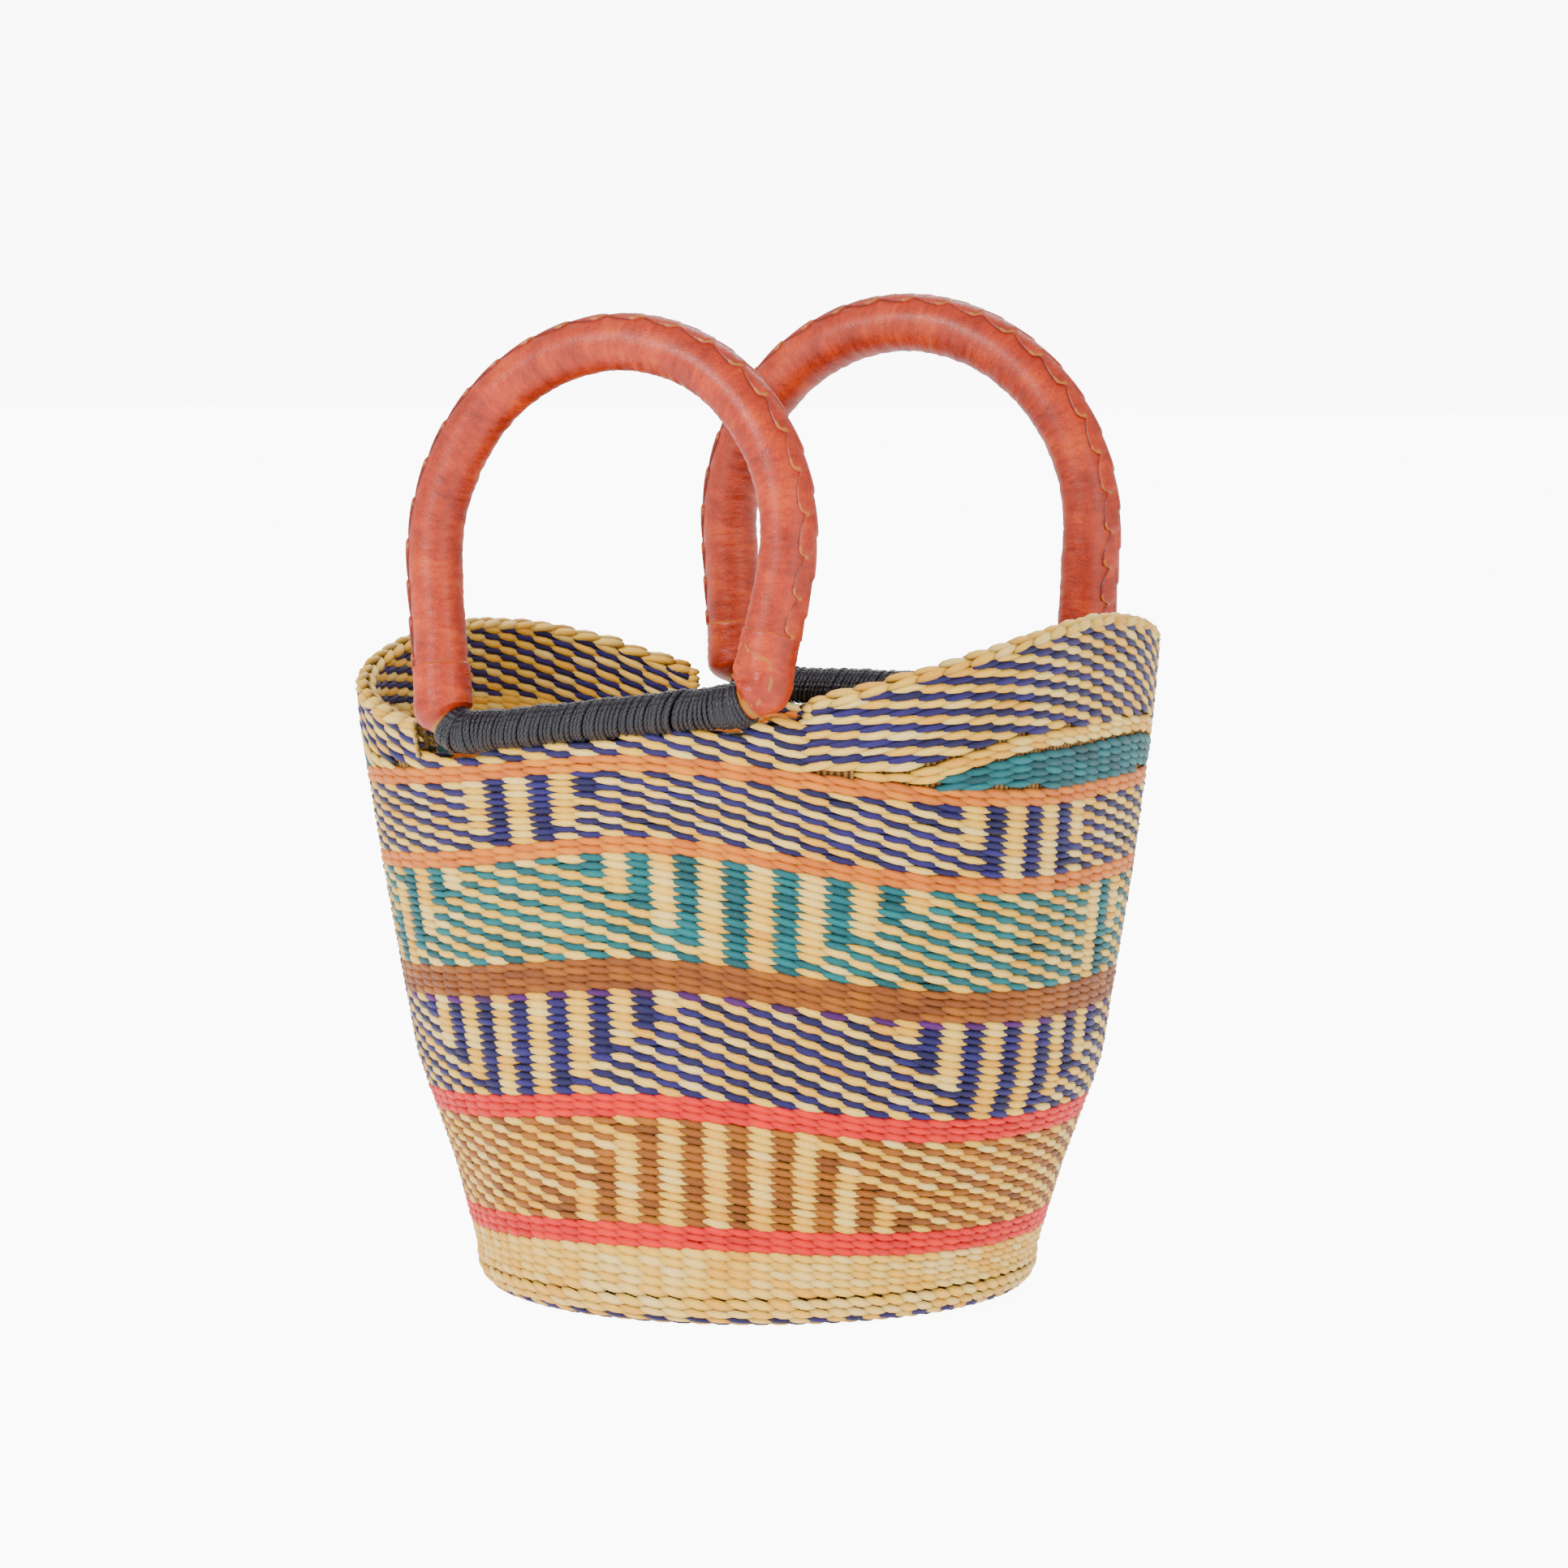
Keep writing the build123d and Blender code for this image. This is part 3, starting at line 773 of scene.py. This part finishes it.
for level in range(levels - 1):
    for index in range(count):
        low, high = level * count, (level + 1) * count
        nxt = (index + 1) % count
        stake_faces.append((low + index, low + nxt, high + nxt, high + index))
        stake_faces.append((shell + low + nxt, shell + low + index, shell + high + index, shell + high + nxt))
for index in range(count):
    nxt, top = (index + 1) % count, (levels - 1) * count
    stake_faces.append((top + index, top + nxt, shell + top + nxt, shell + top + index))
    stake_faces.append((nxt, index, shell + index, shell + nxt))
stake_mesh = bpy.data.meshes.new("stakes")
stake_mesh.from_pydata(stake_places, [], stake_faces)
stake_mesh.attributes.new("stem", "FLOAT", "POINT").data.foreach_set(
    "value", np.asarray(stake_numbers, np.float32)
)
# marks the stems set deeper in the groove, which get painted shade
groove_shade_mask = np.tile(np.arange(count) % 2, levels * 2).astype(np.float32)
stake_mesh.attributes.new("groove", "FLOAT", "POINT").data.foreach_set("value", groove_shade_mask)
stakes = placed("warp_stakes", stake_mesh)
stem_straw = bpy.data.materials.new("stem_straw")
stem_straw.use_nodes = True
stem_tree = stem_straw.node_tree
stem_number = put(stem_tree, "ShaderNodeAttribute", {"attribute_name": "stem"})["Fac"]
stem_random = put(
    stem_tree, "ShaderNodeTexWhiteNoise", {"noise_dimensions": "1D"},
    W=sums(stem_tree, "ROUND", stem_number)
)[0]
stem_ramp = stem_tree.nodes.new("ShaderNodeValToRGB")
stem_ramp.color_ramp.elements[0].color = colour(178, 130, 76)
stem_ramp.color_ramp.elements[1].color = colour(238, 202, 146)
stem_tree.links.new(stem_random, stem_ramp.inputs[0])
# painted shade: the stems sunk in the groove are coloured dark brown, standing in for the shade in the recess
painted_groove_shade = put(stem_tree, "ShaderNodeAttribute", {"attribute_name": "groove"})["Fac"]
stem_colour = put(
    stem_tree,
    "ShaderNodeMix",
    {"data_type": "RGBA"},
    i0=painted_groove_shade,
    i6=stem_ramp.outputs[0],
    i7=colour(78, 46, 24)
)[2]
stem_tree.links.new(stem_colour, stem_tree.nodes["Principled BSDF"].inputs["Base Color"])
stem_tree.nodes["Principled BSDF"].inputs["Roughness"].default_value = 0.6
stake_mesh.materials.append(stem_straw)
fasten(stakes, "basket", "natural_straw")

# ---- base and its edge ---------------------------------------------------------------------------
# The base is twined in rings from its middle outwards. At its edge the stakes turn up into the wall,
# and a purple strand runs along the outermost ring.
edge_purple, edge_natural = Stitches(), Stitches()
for row, around_turn in enumerate((0.10, 0.34, 0.58, 0.82)):
    phi = around_turn * math.pi / 2
    radius, height = 118.4 + 12.9 * math.sin(phi), 14.4 - 13.2 * math.cos(phi)
    for column in range(COLUMNS):
        angle = math.radians(column_angles[column])
        run = np.array([-math.sin(angle), math.cos(angle), 0])
        radial = np.array([math.cos(angle), math.sin(angle), 0])
        out = radial * math.sin(phi) - np.array([0, 0, math.cos(phi)])
        wide = radius * math.radians(column_width[column])
        purple = row < 2 and (column + row) % 2 == 0
        jitter = chance.normal(0, 1, 3)
        place = radial * radius + np.array([0, 0, height]) + 0.15 * jitter[0] * run
        (edge_purple if purple else edge_natural).add(
            place * 0.001, run + np.array([0, 0, 0.02 * jitter[1]]), out,
            (wide * 0.001, 0.0044 * (1 + 0.06 * jitter[2]), 0.0024), float(chance.random()),
        )
        inside = radial * (112.0 + 14 * math.sin(phi) ** 2) + np.array([0, 0, 6.5 + 8 * around_turn])
        facing = np.array([0, 0, 1.0]) - radial * 0.9
        edge_natural.add(
            inside * 0.001, -run, facing / np.linalg.norm(facing), (wide * 0.00095, 0.0040, 0.0024),
            float(chance.random())
        )
fasten(edge_natural.weave("base_edge_strands", natural_grass), "basket", "natural_straw", "base_edge_ring")
fasten(edge_purple.weave("base_edge_purple_strands", purple_grass), "basket", "purple_straw")

base_stitches = Stitches()
for ring_number in range(31):
    radius = 4.0 + ring_number * 3.6
    number = max(5, round(2 * math.pi * radius / 10.5))
    for index in range(number):
        angle = 2 * math.pi * (index + 0.37 * ring_number) / number
        radial = np.array([math.cos(angle), math.sin(angle), 0])
        run = np.array([-math.sin(angle), math.cos(angle), 0])
        wide = 2 * math.pi * radius / number
        for face in (1, -1):
            height = 4.9 if face > 0 else 1.35
            base_stitches.add(
                (radial * radius + np.array([0, 0, height])) * 0.001, run * face,
                np.array([0, 0, float(face)]),
                (wide * 0.001, 0.0038, 0.0022), float(chance.random()),
            )
fasten(base_stitches.weave("base_strands", natural_grass), "basket", "natural_straw", "base_disc")

ring_places, ring_faces = [], []
for radius, height in (
    (1.0, 2.0), (60.0, 2.0), (118.0, 2.2), (124.0, 5.5), (126.5, 10.0), (123.5, 11.0), (112.0, 4.6),
    (60.0, 4.0), (1.0, 4.0)
):
    for index in range(96):
        angle = 2 * math.pi * index / 96
        ring_places.append(
            (radius * math.cos(angle) * 0.001, radius * math.sin(angle) * 0.001, height * 0.001)
        )
for ring_number in range(8):
    for index in range(96):
        a, b = ring_number * 96 + index, ring_number * 96 + (index + 1) % 96
        ring_faces.append((a, a + 96, b + 96, b))
ring_faces.append(tuple(range(96)))
ring_faces.append(tuple(reversed(range(8 * 96, 9 * 96))))
spoke_mesh = bpy.data.meshes.new("base_spokes")
spoke_mesh.from_pydata(ring_places, [], ring_faces)
spoke_mesh.attributes.new("stem", "FLOAT", "POINT").data.foreach_set(
    "value", np.asarray([i % 96 for i in range(len(ring_places))], np.float32)
)
spoke_mesh.materials.append(stem_straw)
spokes = placed("base_spokes", spoke_mesh)
fasten(spokes, "basket", "natural_straw")

# ---- handles: where their bars and loops run -----------------------------------------------------
# Each handle is a closed D: a straight bar along the rim, two corners, two legs and a round loop.
# The front one leans in over the basket, and its bar rises towards the right end.
for handle in HANDLES.values():
    tilt, lean = math.radians(handle["tilt"]), math.radians(handle["lean"])
    handle["bar"] = np.array([math.cos(tilt), 0, math.sin(tilt)])
    over = np.array(
        [-math.sin(tilt) * math.cos(lean), handle["side"] * math.sin(lean), math.cos(tilt) * math.cos(lean)]
    )
    handle["rightwards"] = handle["bar"] * math.cos(tilt) - over * math.sin(tilt)
    handle["upwards"] = handle["bar"] * math.sin(tilt) + over * math.cos(tilt)
    handle["forwards"] = np.cross(handle["bar"], over)


def on_leg(handle, sign, height):
    return np.array([sign * (handle["leg"] + height * handle["flare"]), height])


def foot_of(handle, sign):
    x = sign * handle["leg"] / (1 - sign * handle["flare"] * handle["slope"])
    return np.array([x, x * handle["slope"]])


def loop_line(handle, start, step=1.8):
    """Points and outward directions from the left leg over the loop to the right leg."""
    points, outs = [], []
    hub = np.array([0, handle["centre"]])
    touch = {}
    for sign in (-1, 1):
        base, up = np.array([sign * handle["leg"], 0.0]), np.array([sign * handle["flare"], 1.0])
        up = up / np.linalg.norm(up)
        touch[sign] = base + up * np.dot(hub - base, up)
    low = {sign: on_leg(handle, sign, foot_of(handle, sign)[1] + start) for sign in (-1, 1)}
    for sign in (-1, 1):
        leg_run = touch[sign] - low[sign]
        number = max(2, int(np.linalg.norm(leg_run) / step))
        side = np.array([leg_run[1], -leg_run[0]]) * sign
        leg_points = [low[sign] + leg_run * i / number for i in range(number)]
        leg_outs = [side / np.linalg.norm(side)] * number
        if sign < 0:
            points += leg_points
            outs += leg_outs
            first = math.atan2(*(touch[-1] - hub)[::-1])
            last = math.atan2(*(touch[1] - hub)[::-1])
            first = first + 2 * math.pi if first < -math.pi / 2 else first
            arc = int((first - last) * handle["loop"] / step)
            for i in range(arc + 1):
                a = first + (last - first) * i / arc
                out = np.array([math.cos(a), math.sin(a)])
                points.append(hub + out * handle["loop"])
                outs.append(out)
        else:
            points += leg_points[::-1]
            outs += leg_outs
    return np.array(points), np.array(outs)


def corner_line(handle, sign, first_length, top, step=1.0, radius=14.0):
    """Points and outward directions from the bar, round the corner and up the leg."""
    foot = foot_of(handle, sign)
    bar_end = np.array(
        [sign * (handle["bar_half"] + first_length) * math.cos(math.radians(handle["tilt"])), 0.0]
    )
    bar_end[1] = bar_end[0] * handle["slope"]
    leg_end = on_leg(handle, sign, foot[1] + top)
    a, b = unit(bar_end - foot), unit(leg_end - foot)
    half = math.acos(np.clip(np.dot(a, b), -1, 1)) / 2
    setback = radius / math.tan(half)
    hub = foot + (a + b) / np.linalg.norm(a + b) * radius / math.sin(half)
    points, outs = [], []
    start, finish = foot + a * setback, foot + b * setback

    def straight_run(p, q, out):
        number = max(1, int(np.linalg.norm(q - p) / step))
        for i in range(number):
            points.append(p + (q - p) * i / number)
            outs.append(out)

    out_a, out_b = (start - hub) / radius, (finish - hub) / radius
    straight_run(bar_end, start, out_a)
    turn_angle = math.pi - 2 * half
    number = int(radius * turn_angle / step)
    for i in range(number):
        share = i / number
        mixed = out_a * math.sin((1 - share) * turn_angle) + out_b * math.sin(share * turn_angle)
        mixed /= np.linalg.norm(mixed)
        points.append(hub + mixed * radius)
        outs.append(mixed)
    straight_run(finish, leg_end, out_b)
    points.append(leg_end)
    outs.append(out_b)
    return np.array(points), np.array(outs)


def in_room(handle, flat):
    return np.array(handle["middle"], float) + handle["rightwards"] * flat[0] + handle["upwards"] * flat[1]


def direction_in_room(handle, flat):
    return handle["rightwards"] * flat[0] + handle["upwards"] * flat[1]


def leather_tube(name, handle, points, outs, radius, around=56, closed_turn=True, spread=math.pi):
    """A tube or, without closed_turn, a strip along a line. radius gives radius, a mark (1 on a pale raw
    edge, -1 on a painted crease shadow) and shift.
    """
    lengths = np.concatenate([[0], np.cumsum(np.linalg.norm(np.diff(points, axis=0), axis=1))])
    places, skins, raw_edge_and_shadow_marks = [], [], []
    turns = [2 * math.pi * i / around for i in range(around)] if closed_turn else [
        -spread + 2 * spread * i / (around - 1) for i in range(around)
    ]
    for point, out, length in zip(points, outs, lengths):
        centre, outwards = in_room(handle, point), direction_in_room(handle, out)
        for a in turns:
            r, raw, shift = radius(length, a, lengths[-1])
            b = a + shift
            places.append(
                tuple((centre + outwards * r * math.cos(b) + handle["forwards"] * r * math.sin(b)) * 0.001)
            )
            skins.append((length * 0.001, math.cos(a) * 0.012, math.sin(a) * 0.012))
            raw_edge_and_shadow_marks.append(raw)
    faces = []
    rings = len(points)
    span = around if closed_turn else around - 1
    for ring_number in range(rings - 1):
        for index in range(span):
            a, b = ring_number * around + index, ring_number * around + (index + 1) % around
            faces.append((a, b, b + around, a + around))
    if closed_turn:
        for ring_number in (0, rings - 1):
            faces.append(
                tuple(
                    ring_number * around + i for i in (
                        range(around) if ring_number else range(around - 1, -1, -1)
                    )
                )
            )
    mesh = bpy.data.meshes.new(name)
    mesh.from_pydata(places, [], faces)
    mesh.attributes.new("skin", "FLOAT_VECTOR", "POINT").data.foreach_set(
        "vector", np.asarray(skins, np.float32).ravel()
    )
    mesh.attributes.new("raw", "FLOAT", "POINT").data.foreach_set("value", np.asarray(raw_edge_and_shadow_marks, np.float32))
    mesh.polygons.foreach_set("use_smooth", [len(p.vertices) == 4 for p in mesh.polygons])
    return placed(name, mesh)


# ---- leather -------------------------------------------------------------------------------------
# Vegetable-tanned goat skin, dyed terracotta and drawn on wet. It puckers on the inside of the bend,
# and its cut edges stay pale.
def tanned_leather(name):
    material = bpy.data.materials.new(name)
    material.use_nodes = True
    tree = material.node_tree
    shader = tree.nodes["Principled BSDF"]
    skin = put(tree, "ShaderNodeAttribute", {"attribute_name": "skin"})["Vector"]
    # 1 marks a pale raw edge, -1 marks a painted crease shadow
    raw = put(tree, "ShaderNodeAttribute", {"attribute_name": "raw"})["Fac"]
    blotches = put(tree, "ShaderNodeTexNoise", Vector=skin, Scale=55.0, Detail=5.0, Roughness=0.6)[0]
    pulled = put(
        tree, "ShaderNodeVectorMath", {"operation": "MULTIPLY"}, i0=skin, i1=(330.0, 110.0, 110.0)
    )[0]
    puckers = put(tree, "ShaderNodeTexNoise", Vector=pulled, Scale=1.0, Detail=3.0, Roughness=0.55)[0]
    grain = put(tree, "ShaderNodeTexVoronoi", Vector=skin, Scale=1500.0)[0]
    pores = put(tree, "ShaderNodeTexNoise", Vector=skin, Scale=700.0, Detail=3.0)[0]
    ramp = tree.nodes.new("ShaderNodeValToRGB")
    ramp.color_ramp.elements[0].position, ramp.color_ramp.elements[0].color = 0.30, colour(
        158, 66, 24, 1.55, 0.43
    )
    ramp.color_ramp.elements[1].position, ramp.color_ramp.elements[1].color = 0.72, colour(
        228, 118, 54, 1.55, 0.64
    )
    ramp.color_ramp.elements.new(0.52).color = colour(204, 92, 36, 1.55, 0.53)
    shade = sums(tree, "ADD", sums(tree, "MULTIPLY", blotches, 0.65), sums(tree, "MULTIPLY", puckers, 0.35))
    tree.links.new(shade, ramp.inputs[0])
    speckled = put(tree, "ShaderNodeMapRange", Value=pores, i1=0.35, i2=0.65, i3=0.86, i4=1.08)[0]
    toned = put(
        tree, "ShaderNodeMix", {"data_type": "RGBA", "blend_type": "MULTIPLY"}, i0=1.0,
        i6=ramp.outputs[0], i7=speckled
    )[2]
    edge = put(
        tree,
        "ShaderNodeMix",
        {"data_type": "RGBA"},
        i0=raw,
        i6=toned,
        i7=colour(196, 140, 90, 1.4, 0.62)
    )[2]
    # painted shadow: a dark line is painted in the crease beside each flap, where the flap's edge drops to
    # the tube
    painted_crease_shadow = put(tree, "ShaderNodeMapRange", Value=raw, i1=-0.6, i2=0.0, i3=0.22, i4=1.0)[0]
    edge = put(
        tree, "ShaderNodeMix", {"data_type": "RGBA", "blend_type": "MULTIPLY"}, i0=1.0, i6=edge,
        i7=painted_crease_shadow
    )[2]
    tree.links.new(edge, shader.inputs["Base Color"])
    rough = put(tree, "ShaderNodeMapRange", Value=pores, i1=0.3, i2=0.7, i3=0.30, i4=0.60)[0]
    tree.links.new(rough, shader.inputs["Roughness"])
    fine_bump = put(tree, "ShaderNodeBump", Strength=0.35, Distance=0.0003, Height=grain)[0]
    # the skin puckers where it is squeezed, on the inside of the loop
    squeezed = put(
        tree, "ShaderNodeMapRange", Value=put(tree, "ShaderNodeSeparateXYZ", Vector=skin)[1], i1=0.006,
        i2=-0.012, i3=0.15, i4=1.0
    )[0]
    bump = put(
        tree, "ShaderNodeBump", Strength=0.6, Distance=0.0016,
        Height=sums(tree, "MULTIPLY", puckers, squeezed), Normal=fine_bump
    )[0]
    tree.links.new(bump, shader.inputs["Normal"])
    shader.inputs["Specular IOR Level"].default_value = 0.42
    shader.inputs["Coat Weight"].default_value = 0.08
    shader.inputs["Coat Roughness"].default_value = 0.3
    return material


goat_leather = tanned_leather("goat_leather")
FLAP = 17.0  # length of one flap of the laced seam

for handle_name, handle in HANDLES.items():
    body, sleeve = f"{handle_name}_handle", handle["sleeve"]
    points, outs = loop_line(handle, 17.0)

    def sleeve_skin(length, a, total, sleeve=sleeve, seed=len(handle_name) * 10.0):
        inner_side = max(0.0, -math.cos(a))
        lumps = noise.noise(Vector((length * 0.03, math.cos(a) * 1.2, math.sin(a) * 1.2 + seed)))
        creases = noise.noise(Vector((length * 0.34, math.cos(a) * 0.9 + seed, math.sin(a) * 0.9)))
        return sleeve - 0.5 + 0.45 * lumps + creases * (0.12 + 0.42 * inner_side), 0.0, 0.0

    piece = leather_tube(f"{handle_name}_leather_sleeve", handle, points, outs, sleeve_skin)
    piece.data.materials.append(goat_leather)
    fasten(piece, body, "tan_leather", f"{handle_name}_handle_leather", f"{handle_name}_handle_core")

    # the seam is closed with flaps that are laced over each other, left and right in turn
    points, outs = loop_line(handle, 30.0, 1.2)
    reach = math.radians(38)

    def flaps(length, a, total, sleeve=sleeve, reach=reach):
        share = a / reach
        along_flap = (length / FLAP + (0.0 if share < 0 else 0.5)) % 1.0
        # each flap swells out along its length and ends in a short notch, where the pale cut edge turns up
        edge_turn = 0.50 + 0.50 * math.sin(math.pi * min(along_flap / 0.9, 1.0) * 0.62) ** 0.8
        if along_flap > 0.9:
            edge_turn = 1.0 - 0.5 * (along_flap - 0.9) / 0.1
        lift = 0.40 + 0.9 * along_flap if along_flap < 0.9 else 1.21 - 0.8 * (along_flap - 0.9) / 0.1
        lift *= 1.0 - 0.25 * abs(share)
        raw = 1.0 if (
            abs(share) > 0.86 and along_flap > 0.72
        ) or (along_flap > 0.93 and abs(share) > 0.6) else 0.0
        height = sleeve + 0.1 + lift
        # painted shadow: the edge drop beside the flap is marked -1, which the leather paints as a dark
        # shadow line
        if abs(share) > 0.97:
            height, raw = sleeve - 0.9, -1.0
        return height, raw, a * (edge_turn - 1)

    piece = leather_tube(
        f"{handle_name}_laced_seam", handle, points, outs, flaps, around=41, closed_turn=False,
        spread=reach
    )
    piece.data.materials.append(goat_leather)
    fasten(piece, body, "tan_leather", f"{handle_name}_handle_lacing")

    for side, sign in (("left", -1), ("right", 1)):
        folded = handle_name == "front" and side == "right"
        points, outs = corner_line(handle, sign, 1.2, 32.0)
        covered = handle["wound"]

        def cuff_skin(
            length, a, total, handle=handle, sleeve=sleeve, folded=folded, sign=sign, covered=covered
        ):
            wound = min(max((length - covered) / 7.0, 0), 1)
            r = 8.1 + (sleeve + 0.35 - 8.1) * wound * wound * (3 - 2 * wound)
            r += 0.9 * math.exp(-(((length - covered - 9) / 7.0) ** 2)) * (0.4 + 0.6 * math.cos(a))
            lumps = noise.noise(
                Vector((length * 0.12, math.cos(a) * 1.5, math.sin(a) * 1.5 + sign * 4 + sleeve))
            )
            creases = noise.noise(Vector((length * 0.5, math.cos(a) * 2, math.sin(a) * 2 + sign * 9)))
            if length > covered:
                r += 0.35 * lumps + 0.30 * creases
            ragged = 0.5 * noise.noise(Vector((a * 2.0, sleeve, sign * 3.0)))
            raw = 1.0 if abs(length - covered - 0.6 - ragged) < 1.0 or total - length < 0.35 else 0.0
            if folded:
                off = math.hypot((length - 25) / 8.5, ((a - 1.9 + math.pi) % (2 * math.pi) - math.pi) / 0.65)
                r -= 2.3 * math.exp(-off * off * 2.0)
                star = abs(math.sin(3.5 * math.atan2(length - 25, (a - 1.9) * 12)))
                r += 1.1 * math.exp(-((off - 1) ** 2) * 3) * star
                if abs(off - 1.55 + 0.2 * math.sin(5 * a)) < 0.045:
                    raw = 1.0
            if total - length < 0.05 or length < 0.05:
                r -= 1.1
            return r, raw, 0.0

        piece = leather_tube(f"{handle_name}_{side}_leather_cuff", handle, points, outs, cuff_skin, around=64)
        piece.data.materials.append(goat_leather)
        fasten(piece, body, "tan_leather", f"{handle_name}_{side}_cuff")

# ---- lashing -------------------------------------------------------------------------------------
# Blue-black twisted grass cord, wound tightly round each bar and through the rim rows under it.
# The tree lays one slightly slanted turn of cord on each point it is given.
turn_tree = bpy.data.node_groups.new("cord_turns", "GeometryNodeTree")
turn_tree.is_modifier = True
for socket_name, kind, value in (
    ("Points", "NodeSocketGeometry", None),
    ("Steps", "NodeSocketInt", 30),
    ("Finish", "NodeSocketMaterial", None),
):
    socket = turn_tree.interface.new_socket(socket_name, in_out="INPUT", socket_type=kind)
    if value is not None:
        socket.default_value = value
turn_tree.interface.new_socket("Turns", in_out="OUTPUT", socket_type="NodeSocketGeometry")
given = turn_tree.nodes.new("NodeGroupInput").outputs
hoop = put(turn_tree, "GeometryNodeCurvePrimitiveCircle", Resolution=given["Steps"], Radius=1.0)[0]
section = put(turn_tree, "GeometryNodeCurvePrimitiveCircle", Resolution=8, Radius=0.145)[0]
cord = put(turn_tree, "GeometryNodeCurveToMesh", Curve=hoop, i1=section)[0]
finish_tree(turn_tree, lay_on_points(turn_tree, keep_place(turn_tree, cord), "along", "outward"))

black_cord = bpy.data.materials.new("black_cord")
black_cord.use_nodes = True
cord_tree = black_cord.node_tree
cord_lie = put(cord_tree, "ShaderNodeAttribute", {"attribute_name": "lie"})["Vector"]
cord_tint = put(cord_tree, "ShaderNodeAttribute", {"attribute_name": "tint"})["Fac"]
lay = put(
    cord_tree, "ShaderNodeVectorMath", {"operation": "ADD"}, i0=cord_lie,
    i1=put(cord_tree, "ShaderNodeCombineXYZ", Z=sums(cord_tree, "MULTIPLY", cord_tint, 60.0))[0]
)[0]
cord_fibres = put(cord_tree, "ShaderNodeTexNoise", Vector=lay, Scale=9.0, Detail=4.0, Roughness=0.6)[0]
cord_ramp = cord_tree.nodes.new("ShaderNodeValToRGB")
cord_ramp.color_ramp.elements[0].position, cord_ramp.color_ramp.elements[0].color = 0.32, colour(8, 8, 13)
cord_ramp.color_ramp.elements[1].position, cord_ramp.color_ramp.elements[1].color = 0.78, colour(50, 50, 66)
cord_ramp.color_ramp.elements.new(0.55).color = colour(20, 20, 29)
# two plies are twisted together, so their relief runs slantwise across the cord; the same relief is painted
# into the colour, lighter on the ridges and darker in the grooves, as painted shade
lie_x, lie_y, lie_z = put(cord_tree, "ShaderNodeSeparateXYZ", Vector=cord_lie)
round_bar = sums(cord_tree, "ARCTAN2", lie_y, lie_x)
from_middle = sums(
    cord_tree, "SUBTRACT",
    sums(
        cord_tree, "SQRT",
        sums(
            cord_tree, "ADD", sums(cord_tree, "MULTIPLY", lie_x, lie_x),
            sums(cord_tree, "MULTIPLY", lie_y, lie_y)
        )
    ),
    1.0
)
round_cord = sums(cord_tree, "ARCTAN2", lie_z, from_middle)
ply_relief_and_shade = sums(
    cord_tree, "SINE",
    sums(
        cord_tree, "ADD", sums(cord_tree, "MULTIPLY", round_bar, 22.0),
        sums(cord_tree, "MULTIPLY", round_cord, 2.0)
    )
)
cord_relief = sums(cord_tree, "ADD", sums(cord_tree, "MULTIPLY", ply_relief_and_shade, 0.22), cord_fibres)
# painted shade: the ply relief lightens the colour on the ridges and darkens it in the grooves
cord_tree.links.new(
    sums(cord_tree, "ADD", sums(cord_tree, "MULTIPLY", ply_relief_and_shade, 0.16), cord_fibres), cord_ramp.inputs[0]
)
cord_shader = cord_tree.nodes["Principled BSDF"]
cord_tree.links.new(cord_ramp.outputs[0], cord_shader.inputs["Base Color"])
cord_tree.links.new(
    put(cord_tree, "ShaderNodeBump", Strength=0.8, Distance=0.0007, Height=cord_relief)[0],
    cord_shader.inputs["Normal"]
)
cord_shader.inputs["Roughness"].default_value = 0.30
cord_shader.inputs["Sheen Weight"].default_value = 0.02

for handle_name, handle in HANDLES.items():
    cord_turns = Stitches()
    half = handle["bar_half"] - 1.0
    turns = int(2 * half / 2.25)
    for index in range(turns + 1):
        at = -half + 2 * half * index / turns
        jitter = chance.normal(0, 1, 3)
        # the turns lie slanting, less so beside the cuffs
        slant = 0.04 + 0.34 * min(1.0, (half - abs(at)) / 12)
        axis = handle["bar"] + np.array([0, 0.02 * jitter[0], -slant + 0.02 * jitter[1]])
        place = (np.array(handle["middle"]) + handle["bar"] * at) * MM
        broad = 0.0086 * (1 + 0.035 * jitter[2])
        cord_turns.add(
            place, unit(axis), np.array([0, 0, 1.0]), (broad, broad, broad), float(chance.random())
        )
    piece = cord_turns.weave(f"{handle_name}_cord_lashing", black_cord, turn_tree)
    fasten(piece, "basket", "black_cord", f"{handle_name}_rim_lashing")

    # the cord carries on round each corner, over the end of the leather, and turns with the handle
    corner_turns = Stitches()
    for sign in (-1, 1):
        points = corner_line(handle, sign, 0.6, CUFF_TOP, step=1.45)[0]
        runs = np.gradient(points, axis=0)
        lengths = np.concatenate([[0], np.cumsum(np.linalg.norm(np.diff(points, axis=0), axis=1))])
        for point, run, length in zip(points, runs, lengths):
            if length > handle["wound"]:
                break
            jitter = chance.normal(0, 1, 3)
            axis = direction_in_room(handle, run / np.linalg.norm(run)) + 0.03 * jitter
            broad = 0.0086 * (1 + 0.03 * jitter[2]) * (1 + 0.006 * length)
            sizes = (broad, broad, broad)
            corner_turns.add(
                in_room(handle, point) * MM, unit(axis), handle["forwards"], sizes,
                float(chance.random())
            )
    piece = corner_turns.weave(f"{handle_name}_cord_corners", black_cord, turn_tree)
    fasten(piece, f"{handle_name}_handle", "black_cord")
